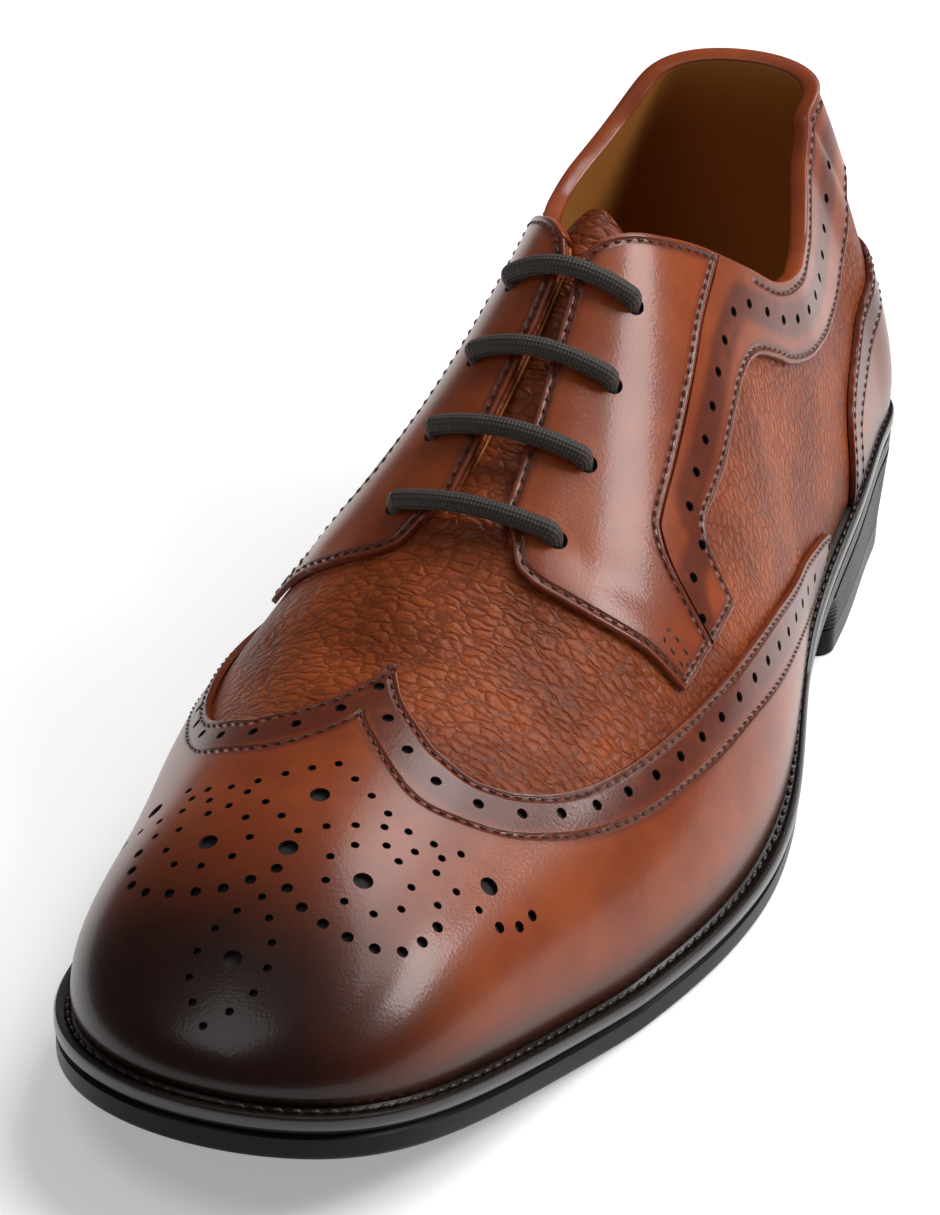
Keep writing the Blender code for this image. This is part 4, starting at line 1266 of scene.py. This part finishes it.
@dataclass
class UpperShell:
    """Vamp and quarters in pebbled leather, the lining inside them, and the turned edge of the collar."""

    shoe: Shoe
    columns: int = 420
    rows: int = 60
    bead_half_width: float = 1.95 * MM
    bead_height: float = 0.6 * MM
    bead_sink: float = 0.18
    bead_drop: float = 0.1 * MM

    def grid(self) -> tuple[Array, Array, Array]:
        """Give the shell's grid: round the shoe from the heel by the lateral side, and up each section."""
        turn = np.linspace(0, 2 * np.pi, self.columns, endpoint=False)
        angle = np.minimum(turn, 2 * np.pi - turn)
        side = np.where(turn < np.pi, 1.0, -1.0)
        top = self.shoe.last.top_line(station_of(angle), side)
        up = np.linspace(0, 1, self.rows)[None] * top[:, None]
        return np.broadcast_to(angle[:, None], up.shape), np.broadcast_to(side[:, None], up.shape), up

    def build(self) -> None:
        """Make leather, lining and collar edge."""
        last, shoe = self.shoe.last, self.shoe
        angle, side, up = self.grid()
        inner = shoe.wall - shoe.lining_thick
        layers = [last.leather(angle, side, up, -depth) for depth in (0, inner, shoe.wall)]
        skin = sheet_solid("upper_leather", layers[0], layers[1], [PEBBLED], closed=True)
        set_attribute(skin, "burnish", 0.75 * shoe.burnish(vertex_places(skin)))
        shoe.join(skin, "grained_leather", "upper")
        lining = sheet_solid("lining", layers[1], layers[2], [LINING], closed=True)
        shoe.join(lining, "lining_leather", "upper")
        self.collar_edge()

    def collar_edge(self) -> None:
        """Roll an elliptical edge over leather and lining, from one facing round the back to the other."""
        last = self.shoe.last
        end = float(angle_of(last.collar_rows[-1][0]))
        turn = np.linspace(-end, end, 460)
        angle, side = abs(turn), np.where(turn < 0, -1.0, 1.0)
        up = last.top_line(station_of(angle), side)
        normal = last.normal(angle, side, up)
        rise = last.point(angle, side, up + SMALL_STEP) - last.point(angle, side, up - SMALL_STEP)
        rise /= np.linalg.norm(rise, axis=-1, keepdims=True)
        centre = last.leather(angle, side, up, -self.bead_sink * self.shoe.wall)
        edge = tube("collar_edge", centre - rise * self.bead_drop, normal * self.bead_half_width,
                    rise * self.bead_height, 16, CALF)
        self.shoe.mark(edge, [], [])
        self.shoe.join(edge, "smooth_calf")


@dataclass
class Quarters:
    """Facings, punched bands, counter and heel tab in smooth calf, with their stitches and holes."""

    shoe: Shoe
    thread: Thread = field(default_factory=Thread)
    row_inset: float = 1.4 * MM
    far_inset: float = 7.4 * MM
    band_hole: float = 2.1 * MM
    band_pitch: float = 8.0 * MM
    eyelet: float = 4.0 * MM
    eyelet_stations: tuple = (0.441, 0.489, 0.540, 0.591)
    eyelet_up: float = 0.805
    tab_width: float = 18.0 * MM
    band_columns: int = 420
    band_lines: int = 30
    # how many of the band's columns lie along the collar, and how far in their row of stitches is
    collar_columns: int = 250
    collar_inset: float = 2.0 * MM
    tack_stations: tuple = (0.578, 0.588)
    tack_ups: tuple = (0.465, 0.530)
    # station, low and high line up the section
    facing_rows: tuple = (
        (0.349, 0.641, 0.655), (0.390, 0.641, 1.000), (0.435, 0.632, 1.000), (0.510, 0.630, 1.000),
        (0.530, 0.626, 1.000), (0.540, 0.600, 1.000), (0.546, 0.560, 1.000), (0.549, 0.500, 1.000),
        (0.550, 0.430, 1.000), (0.575, 0.436, 0.965), (0.597, 0.443, 0.912), (0.604, 0.546, 0.893),
        (0.610, 0.600, 0.880), (0.614, 0.637, 0.872), (0.620, 0.715, 0.850), (0.623, 0.780, 0.815),
    )
    band_rows: tuple = (
        (0.022, 0.410, 0.620), (0.058, 0.370, 0.620), (0.101, 0.330, 0.620), (0.161, 0.306, 0.620),
        (0.196, 0.310, 0.620), (0.244, 0.333, 0.620), (0.291, 0.383, 0.640), (0.321, 0.438, 0.640),
        (0.345, 0.480, 0.640), (0.365, 0.500, 0.637), (0.390, 0.508, 0.638), (0.435, 0.508, 0.629),
        (0.470, 0.520, 0.627), (0.492, 0.530, 0.627), (0.502, 0.515, 0.627), (0.506, 0.470, 0.627),
        (0.507, 0.412, 0.627), (0.530, 0.420, 0.622), (0.539, 0.423, 0.596), (0.545, 0.426, 0.556),
        (0.548, 0.427, 0.498), (0.549, 0.428, 0.440),
    )
    counter_rows: tuple = (
        (0.000, 0.000, 0.290), (0.022, 0.000, 0.280), (0.074, 0.000, 0.258), (0.133, 0.000, 0.210),
        (0.175, 0.000, 0.170), (0.190, 0.000, 0.130), (0.197, 0.000, 0.070), (0.204, 0.000, 0.001),
    )
    # height up the section, half width as a share of half the tab's width
    tab_rows: tuple = (
        (0.294, 1.90), (0.310, 1.60), (0.340, 1.25), (0.380, 1.05), (0.420, 1.00), (0.620, 1.00),
    )

    def lines(self, table: tuple, side: float, columns: int) -> tuple[Array, Array, Array]:
        """Read a panel's table densely: angles, low line and high line, cut off at the top line."""
        stations, low, high = np.array(table).T
        angles = angle_of(stations)
        angle = angles[0] + (angles[-1] - angles[0]) * cosine(columns)
        low, high = monotone(angles, low)(angle), monotone(angles, high)(angle)
        return angle, low, np.minimum(high, self.shoe.last.top_line(station_of(angle), side))

    def grid(self, table: tuple, side: float, columns: int, rows: int) -> tuple[Array, Array, Array]:
        """Give a panel's grid between its low and high lines."""
        angle, low, high = self.lines(table, side, columns)
        up = low[:, None] + (high - low)[:, None] * cosine(rows)[None]
        return np.broadcast_to(angle[:, None], up.shape), np.full(up.shape, side), up

    def border(self, grid: tuple[Array, Array, Array], lift: float, *names: str) -> SurfaceLine:
        """Join borders of a grid, given in order by name, into one line."""
        cuts = {"low": np.s_[:, 0], "high": np.s_[:, -1], "start": np.s_[0], "end": np.s_[-1],
                "low_back": np.s_[::-1, 0], "high_back": np.s_[::-1, -1], "end_back": np.s_[-1, ::-1]}
        angle, side, up = (np.concatenate([part[cuts[name]] for name in names]) for part in grid)
        return SurfaceLine.on(self.shoe.last, angle, side, up, lift).even(0.2 * MM)

    def facing(self, side: Side) -> list[SurfaceLine]:
        """Make one facing with four eyelet holes; the lace passes through them."""
        last, sign = self.shoe.last, side.value
        lift = self.shoe.face
        grid = self.grid(self.facing_rows, sign, 210, 64)
        whole = self.border(grid, 0.0, "low", "end", "high_back")
        raised = self.border(grid, lift, "low", "end", "high_back")
        rows = [raised.beside(-sign * self.row_inset)]
        angle = angle_of(np.array(self.eyelet_stations))
        eyelets = SurfaceLine.on(last, angle, sign, np.full(len(angle), self.eyelet_up), lift)
        holes = [Hole(place, normal, self.eyelet) for place, normal in zip(eyelets.points, eyelets.normals)]
        name = side.name.lower()
        item = self.shoe.overlay(f"facing_{name}_calf", *grid, [whole], rows, holes)
        self.shoe.join(item, "smooth_calf", f"facing_{name}")
        return rows + [self.bar_tack(side)]

    def bar_tack(self, side: Side) -> SurfaceLine:
        """Lay the narrow box of stitches that holds the facing's foot."""
        (first, last), (low, high) = self.tack_stations, self.tack_ups
        corner, at = np.arange(5), np.concatenate([side_no + np.linspace(0, 1, 60) for side_no in range(4)])
        station = np.interp(at, corner, (first, first, last, last, first))
        up = np.interp(at, corner, (low, high, high, low, low))
        return SurfaceLine.on(self.shoe.last, angle_of(station), side.value, up, self.shoe.face)

    def band(self, side: Side) -> list[SurfaceLine]:
        """Make one punched band, from the facing's foot along the collar to some 20 mm before the tab."""
        sign = side.value
        lift = self.shoe.face
        grid = self.grid(self.band_rows, sign, self.band_columns, self.band_lines)
        raised = self.border(grid, lift, "low")
        centre = self.border(tuple(part[:, self.band_lines // 2:] for part in grid), lift, "low")
        along_collar = tuple(part[:self.collar_columns] for part in grid)
        collar = self.border(along_collar, lift, "high").beside(sign * self.collar_inset)
        rows = [raised.beside(-sign * self.row_inset), collar]
        at = np.arange(10 * MM, centre.lengths()[-1] - 4 * MM, self.band_pitch)
        holes = centre.holes(at, self.band_hole)
        name = side.name.lower()
        free = [self.border(grid, 0.0, "low")]
        item = self.shoe.overlay(f"band_{name}_calf", *grid, free, rows, holes, [centre])
        self.shoe.join(item, "smooth_calf", f"band_{name}")
        return rows

    def counter(self) -> list[SurfaceLine]:
        """Make the counter round the heel, with a punched edge between two rows."""
        lift = self.shoe.face
        lateral = self.grid(self.counter_rows, 1.0, 120, 44)
        medial = self.grid(self.counter_rows, -1.0, 120, 44)
        grid = tuple(np.concatenate([a[::-1], b[1:]]) for a, b in zip(lateral, medial))
        raised = self.border(grid, lift, "high")
        skin = self.shoe.last.leather(*grid, lift), self.shoe.last.normal(*grid)
        rows = [raised.beside(-inset).settled(*skin) for inset in (self.row_inset, self.far_inset)]
        centre = raised.beside(-(self.row_inset + self.far_inset) / 2).settled(*skin)
        at = np.arange(6 * MM, centre.lengths()[-1] - 5 * MM, self.band_pitch)
        holes = centre.holes(at, self.band_hole)
        item = self.shoe.overlay("counter_calf", *grid, [self.border(grid, 0.0, "high")], rows, holes,
                                 [centre])
        self.shoe.join(item, "smooth_calf", "counter")
        return rows

    def tab(self) -> list[SurfaceLine]:
        """Make the strip over the back seam."""
        last = self.shoe.last
        lift = self.shoe.face
        ups, shares = np.array(self.tab_rows).T
        up = np.linspace(ups[0], float(last.collar_up(np.array(0.0))), 60)
        reach = monotone(ups, shares)(up) * self.tab_width / 2 / float(last.half_width(np.array(0.0))[1])
        across = np.linspace(-1, 1, 41)
        turn = across[:, None] * reach[None]
        angle, side = abs(turn), np.where(turn > 0, 1.0, -1.0)
        height = np.minimum(np.broadcast_to(up, turn.shape), last.collar_up(station_of(angle)))
        grid = (angle, side, height)
        free = [self.border(grid, 0.0, name) for name in ("start", "end", "high")]
        rows = [self.border(grid, lift, "start").beside(-self.row_inset),
                self.border(grid, lift, "end").beside(self.row_inset)]
        item = self.shoe.overlay("heel_tab_calf", *grid, free, rows)
        self.shoe.join(item, "smooth_calf", "heel_tab")
        return rows

    def build(self) -> None:
        """Make all the panels, then sew their rows as one piece."""
        rows = self.counter() + self.tab()
        for side in Side:
            rows += self.facing(side) + self.band(side)
        self.shoe.join(sewn_rows("quarter_stitches", self.thread, rows, THREAD), "smooth_calf")


@dataclass
class Tongue:
    """Pebbled tongue under the facings; the vamp dips into it between them."""

    shoe: Shoe
    thick: float = 2.0 * MM
    clearance: float = 1.0 * MM
    # station, how far down the tongue reaches
    low_rows: tuple = (
        (0.398, 0.930), (0.401, 0.860), (0.408, 0.810), (0.422, 0.770), (0.450, 0.730), (0.520, 0.700),
        (0.580, 0.690), (0.620, 0.690),
    )

    def strip(self, low: Array, angle: Array, depth: Array, thick: float, name: str) -> None:
        """Make a leather sheet across the ridge at a depth below the last."""
        last = self.shoe.last
        share = np.linspace(-1, 1, 49)
        up = 1 - (1 - low)[:, None] * abs(share)[None]
        side = np.broadcast_to(np.where(share < 0, -1.0, 1.0), up.shape)
        angle = np.broadcast_to(angle[:, None], up.shape)
        lift = -np.broadcast_to(depth[:, None], up.shape)
        item = sheet_solid(name, last.leather(angle, side, up, lift),
                           last.leather(angle, side, up, lift - thick), [PEBBLED])
        set_attribute(item, "burnish", np.full(len(item.data.vertices), 0.15))
        self.shoe.join(item, "grained_leather", "tongue")

    def build(self) -> None:
        """Make the tongue and the slope of vamp that runs down into the throat's foot.

        The slope is wider than the throat, so that its borders lie hidden inside the upper.
        """
        last = self.shoe.last
        stations, lows = np.array(self.low_rows).T
        angle = angle_of(stations[0]) + (angle_of(stations[-1]) - angle_of(stations[0])) * cosine(120)
        deep = self.shoe.wall + self.clearance
        low = monotone(angle_of(stations), lows)(angle)
        self.strip(low, angle, np.full(120, deep), self.thick, "tongue_leather")
        station = np.linspace(0.520, 0.616, 80)
        depth = (deep + 0.1 * MM) * (1 - smoothstep(station, 0.525, 0.603)) - 0.04 * MM
        self.strip(np.full(80, 0.90), angle_of(station), depth, 0.5 * MM, "throat_slope")


@dataclass
class Lace:
    """Round braided lace: four straight bars, each down through its own pair of eyelets."""

    shoe: Shoe
    quarters: Quarters
    diameter: float = 3.8 * MM
    sink: float = 3.0 * MM
    bend: float = 2.2 * MM
    bow: float = 0.012

    def build(self) -> None:
        """Carry the braid from eyelet to eyelet and down into the holes.

        Over the facings the lift is constant; near each hole it falls as the bar's distance from the
        hole shrinks: lift = top - (top + sink) * (1 - distance / bend) squared.
        """
        last = self.shoe.last
        top = self.shoe.face + self.diameter / 2 - 0.1 * MM
        for number, station in enumerate(self.quarters.eyelet_stations, start=1):
            angle = float(angle_of(station))
            share = np.linspace(-1, 1, 161)
            up = 1 - (1 - self.quarters.eyelet_up) * abs(share)
            side = np.where(share < 0, 1.0, -1.0)
            turn = angle + self.bow * (1 - share ** 2)
            base = last.leather(turn, side, up, 0.0)
            normal = last.normal(turn, side, up)
            steps = np.concatenate([[0], np.cumsum(np.linalg.norm(np.diff(base, axis=0), axis=1))])
            away = np.minimum(steps, steps[-1] - steps)
            fall = np.clip(1 - away / self.bend, 0, 1) ** 2.5
            centre = base + normal * (top - (top + self.sink) * fall)[:, None]
            line = SurfaceLine(centre, normal)
            centre, tangent, normal = line.read(np.linspace(0, line.lengths()[-1], 110))
            aside = np.cross(tangent, normal)
            radius = self.diameter / 2
            item = tube(f"lace_{number}", centre, aside * radius, normal * radius, 20, CORD)
            self.shoe.join(item, "lace_cotton", f"lace_bar_{number}")


@dataclass
class Bottom:
    """Outsole, welt with its stitches, stacked heel with its top lift, and the sock inside."""

    shoe: Shoe
    columns: int = 200
    heel_length: float = 0.074
    welt_inside: float = 4.2 * MM
    edge_round: float = 1.2 * MM
    groove: float = 0.6 * MM
    top_lift: float = 6.0 * MM
    heel_taper: float = 1.1 * MM
    heel_corner: float = 4.0 * MM
    breast_slope: float = 7.0 * MM
    insole_thick: float = 3.0 * MM
    sock_gap: float = 1.0 * MM
    sock_round: float = 0.4 * MM
    fine_grooves: int = 9
    fine_width: float = 0.018
    fine_depth: float = 0.35 * MM
    lift_round: float = 0.5 * MM

    def rungs(self, margin: Curve, lift: float) -> Array:
        """Give the outline's two edges at a margin and a height over the underside."""
        last = self.shoe.last
        angle = np.linspace(0, np.pi, self.columns)
        station = station_of(angle)
        ends = [last.place(*last.outline(angle, side.value, margin(station)), last.underside(station) + lift)
                for side in Side]
        return np.stack(ends, 1)

    def slab(self, name: str, levels: Sequence[Array], finish: Finish) -> bpy.types.Object:
        """Close levels of rungs, each a lateral and a medial edge, into a solid."""
        count = len(levels[0])
        rings = np.stack([np.concatenate([level[:, 0], level[::-1, 1]]) for level in levels], 1)
        size = 2 * count
        sides = grid_quads(size, len(levels), closed=True)
        i = np.arange(count - 1)
        caps = []
        for row in (0, len(levels) - 1):
            cap = np.stack([i, i + 1, size - 2 - i, size - 1 - i], -1) * len(levels) + row
            caps.append(cap)
        item = add_piece(name, rings, np.concatenate([sides, *caps]), [finish], TINY)
        item.data.set_sharp_from_angle(angle=math.radians(35))
        return item

    def outsole(self) -> None:
        """Make the sole, its lower edge rounded and its side stepped in under the welt."""
        last = self.shoe.last
        turn = np.linspace(0, np.pi / 2, 6)
        levels = []
        for bend in turn:
            inset = self.edge_round * (1 - math.sin(bend)) + GAP
            levels.append(self.rungs(lambda s, a=inset: last.welt_width(s) - a,
                                     self.edge_round * (1 - math.cos(bend))))
        step, top = 2 * self.groove, last.sole_thick
        for inset, lift in ((GAP, top - step), (step, top - self.groove), (step, top)):
            levels.append(self.rungs(lambda s, a=inset: last.welt_width(s) - a, lift))
        self.shoe.join(self.slab("sole_rubber", levels, RUBBER), "black_rubber", "outsole")

    def welt(self) -> None:
        """Make the welt with a channel for its stitches and a raised rim, then sew it."""
        last = self.shoe.last
        turn = np.linspace(0, 2 * np.pi, 2 * self.columns, endpoint=False)
        angle, side = np.minimum(turn, 2 * np.pi - turn), np.where(turn < np.pi, 1.0, -1.0)
        station = station_of(angle)
        width, base = last.welt_width(station), last.underside(station) + last.sole_thick + GAP
        top = last.welt_thick - GAP
        # share of the welt's width, inset (of the welt's inside, or in mm), height in mm
        section = ((0.0, -1, 0.0), (1.0, -0.5, 0.0), (1.0, 0, 0.5), (1.0, 0, top / MM - 0.4),
                   (1.0, -0.3, top / MM + 0.05), (1.0, -0.8, top / MM + 0.10), (0.68, 0, top / MM),
                   (0.60, 0, top / MM - 0.45), (0.40, 0, top / MM - 0.45), (0.30, 0, top / MM),
                   (0.0, -1, top / MM))
        rings = []
        for share, inset, height in section:
            margin = share * width + inset * MM * np.where(share > 0, 1, self.welt_inside / MM)
            rings.append(last.place(*last.outline(angle, side, margin), base + height * MM))
        rings = np.stack(rings, 1)
        columns, rows = rings.shape[:2]
        faces = grid_quads(columns, rows, closed=True)
        i = np.arange(columns)
        j = (i + 1) % columns
        back = np.stack([i * rows + rows - 1, j * rows + rows - 1, j * rows, i * rows], -1)
        item = add_piece("welt_strip", rings, np.concatenate([faces, back]), [WELT])
        item.data.set_sharp_from_angle(angle=math.radians(50))
        self.shoe.join(item, "welt_leather", "welt")
        seam = last.place(*last.outline(angle, side, 0.5 * width), base + top - 0.25 * MM)
        seam = np.concatenate([seam, seam[:1]])
        line = SurfaceLine(seam, np.broadcast_to([0.0, 0.0, 1.0], seam.shape))
        thread = Thread(pitch=3.1 * MM, stitch=2.5 * MM, radius=0.42 * MM, rise=0.20 * MM)
        self.shoe.join(sewn_rows("welt_stitches", thread, [line], WELT_THREAD), "welt_leather")

    def heel_level(self, margin: float, height: Array, front: float) -> Array:
        """Give the heel's two edges at one level, its front corners rounded as a quarter circle."""
        last = self.shoe.last
        corner = float(angle_of((front - self.heel_corner) / last.length))
        angle = np.append(np.linspace(0, corner, 70), np.full(9, float(angle_of(front / last.length))))
        bend = np.linspace(0, np.pi / 2, 10)[1:]
        ends = []
        for side in Side:
            across, along = last.outline(angle, side.value, margin)
            across[-9:] = across[-10] + (across[-9:] - across[-10]) * np.sin(bend)
            across[-9:] -= side.value * self.heel_corner * (1 - np.cos(bend))
            along[-9:] = front - self.heel_corner * (1 - np.sin(bend))
            ends.append(last.place(across, along, height(station_of(angle))))
        return np.stack(ends, 1)

    def heel(self) -> None:
        """Make the stacked block, with fine grooves round it, and the top lift."""
        last = self.shoe.last
        margin = last.welt_rows[0][1] * last.welt_margin - GAP
        foot = margin - self.heel_taper
        lift = [self.heel_level(foot - inset, lambda s, h=height: 0 * s + h, self.heel_length)
                for inset, height in ((self.lift_round, 0.0), (0.0, self.lift_round), (0.0, self.top_lift))]
        self.shoe.join(self.slab("heel_lift_rubber", lift, RUBBER), "heel_rubber", "heel_top_lift")
        places = (np.arange(self.fine_grooves) + 0.6) / (self.fine_grooves + 0.2)
        shares = np.sort(np.concatenate([[0, 1], places - self.fine_width, places, places + self.fine_width]))
        low = self.top_lift + GAP
        block = []
        for share in shares:
            cut = self.fine_depth if np.abs(places - share).min() < TINY else 0.0
            front = self.heel_length + self.breast_slope * share ** 2
            block.append(self.heel_level(
                margin - self.heel_taper * (1 - share) - cut,
                lambda s, t=share: low * (1 - t) + (last.underside(s) - GAP) * t, front))
        self.shoe.join(self.slab("heel_block", block, RUBBER), "heel_rubber", "heel_stack")

    def sock(self) -> None:
        """Make the board inside the shoe with its leather sock."""
        last, shoe = self.shoe.last, self.shoe
        seat = last.sole_thick + last.welt_thick + GAP
        core, board = self.welt_inside + GAP, shoe.wall + self.sock_gap
        top, corner = seat + self.insole_thick, self.sock_round
        levels = [self.rungs(lambda s, a=inset: 0 * s - a, lift) for inset, lift in (
            (core, last.sole_thick + GAP), (core, seat), (board, seat), (board, top - corner),
            (board + corner, top))]
        self.shoe.join(self.slab("insole_sock", levels, SOCK), "lining_leather", "insole")

    def build(self) -> None:
        """Make everything under the foot."""
        self.outsole()
        self.welt()
        self.heel()
        self.sock()


@dataclass
class Studio:
    """Pale floor, soft light and the photograph's camera, moved in on the one shoe."""

    photo_height: int = 1215
    camera_place: tuple = (0.2015, -0.6015, 0.3783)
    photo_heading: tuple = (-0.4532, 0.8914)
    photo_pitch: float = 27.3
    photo_roll: float = -1.11
    target: tuple = (-0.00878, -0.01146, 0.04364)
    focal_pixels: float = 3760.0
    sensor: float = 36.0
    floor_half: float = 6.0
    floor_glow: float = 0.34
    world_colour: tuple = (1.0, 0.98, 0.96, 1.0)
    world_strength: float = 0.11
    # name, place, point it is aimed at, width and height, watts
    softboxes: tuple = (
        ("key", (0.40, 0.52, 1.10), (0.0, -0.02, 0.03), (0.85, 0.70), 8.5),
        ("lateral", (0.90, 0.34, 0.86), (0.0, -0.08, 0.03), (0.46, 0.40), 8.0),
        ("top", (0.12, 0.70, 1.15), (0.0, -0.02, 0.03), (0.5, 0.5), 2.8),
        ("fill", (-0.30, -0.50, 1.30), (0.0, 0.10, 0.06), (0.6, 0.6), 2.4),
    )

    def camera(self) -> None:
        """Stand the camera where the photograph was taken, with a longer lens."""
        data = bpy.data.cameras.new("camera")
        item = bpy.data.objects.new("camera", data)
        bpy.context.scene.collection.objects.link(item)
        data.sensor_width = self.sensor
        data.lens = self.focal_pixels * self.sensor / self.photo_height
        data.clip_start, data.clip_end = 0.01, 20.0
        item.location = self.camera_place
        ahead = Vector((*self.photo_heading, -math.tan(math.radians(self.photo_pitch)))).normalized()
        photo = ahead.to_track_quat("-Z", "Y") @ Quaternion((0, 0, 1), math.radians(self.photo_roll))
        aside = ahead.rotation_difference((Vector(self.target) - item.location).normalized())
        item.rotation_mode = "QUATERNION"
        item.rotation_quaternion = aside @ photo
        bpy.context.scene.camera = item

    def softbox(self, name: str, place: tuple, aim: tuple, size: tuple, power: float) -> None:
        """Hang one rectangular soft light."""
        data = bpy.data.lights.new(name, "AREA")
        data.shape, data.size, data.size_y, data.energy = "RECTANGLE", size[0], size[1], power
        item = bpy.data.objects.new(name, data)
        item.location = place
        item.rotation_euler = (Vector(aim) - Vector(place)).to_track_quat("-Z", "Y").to_euler()
        bpy.context.scene.collection.objects.link(item)

    def build(self) -> None:
        """Set floor, world, lights and camera."""
        corners = np.array([[-1, -1, 0], [1, -1, 0], [1, 1, 0], [-1, 1, 0]]) * self.floor_half
        mesh = bpy.data.meshes.new("floor")
        mesh.from_pydata(corners.tolist(), [], [(0, 1, 2, 3)])
        floor = bpy.data.objects.new("floor", mesh)
        bpy.context.scene.collection.objects.link(floor)
        paper = bpy.data.materials.new("white_paper")
        paper.use_nodes = True
        feed(paper.node_tree, paper.node_tree.nodes["Principled BSDF"], {
            "Base Color": linear("F4F4F4"), "Roughness": 0.9, "Emission Color": linear("FFFFFF"),
            "Emission Strength": self.floor_glow,
        })
        mesh.materials.append(paper)
        world = bpy.data.worlds.new("studio")
        bpy.context.scene.world = world
        world.use_nodes = True
        feed(world.node_tree, world.node_tree.nodes["Background"],
             {"Color": self.world_colour, "Strength": self.world_strength})
        for softbox in self.softboxes:
            self.softbox(*softbox)
        bpy.context.scene.view_settings.view_transform = "Standard"
        self.camera()


def main() -> None:
    """Build the shoe piece by piece, then the studio."""
    logging.basicConfig(level=logging.INFO, format="%(message)s")
    shoe = Shoe()
    UpperShell(shoe).build()
    WingCap(shoe).build(Medallion(shoe).build())
    quarters = Quarters(shoe)
    quarters.build()
    Tongue(shoe).build()
    Lace(shoe, quarters).build()
    Bottom(shoe).build()
    Studio().build()


if __name__ == "__main__":
    main()
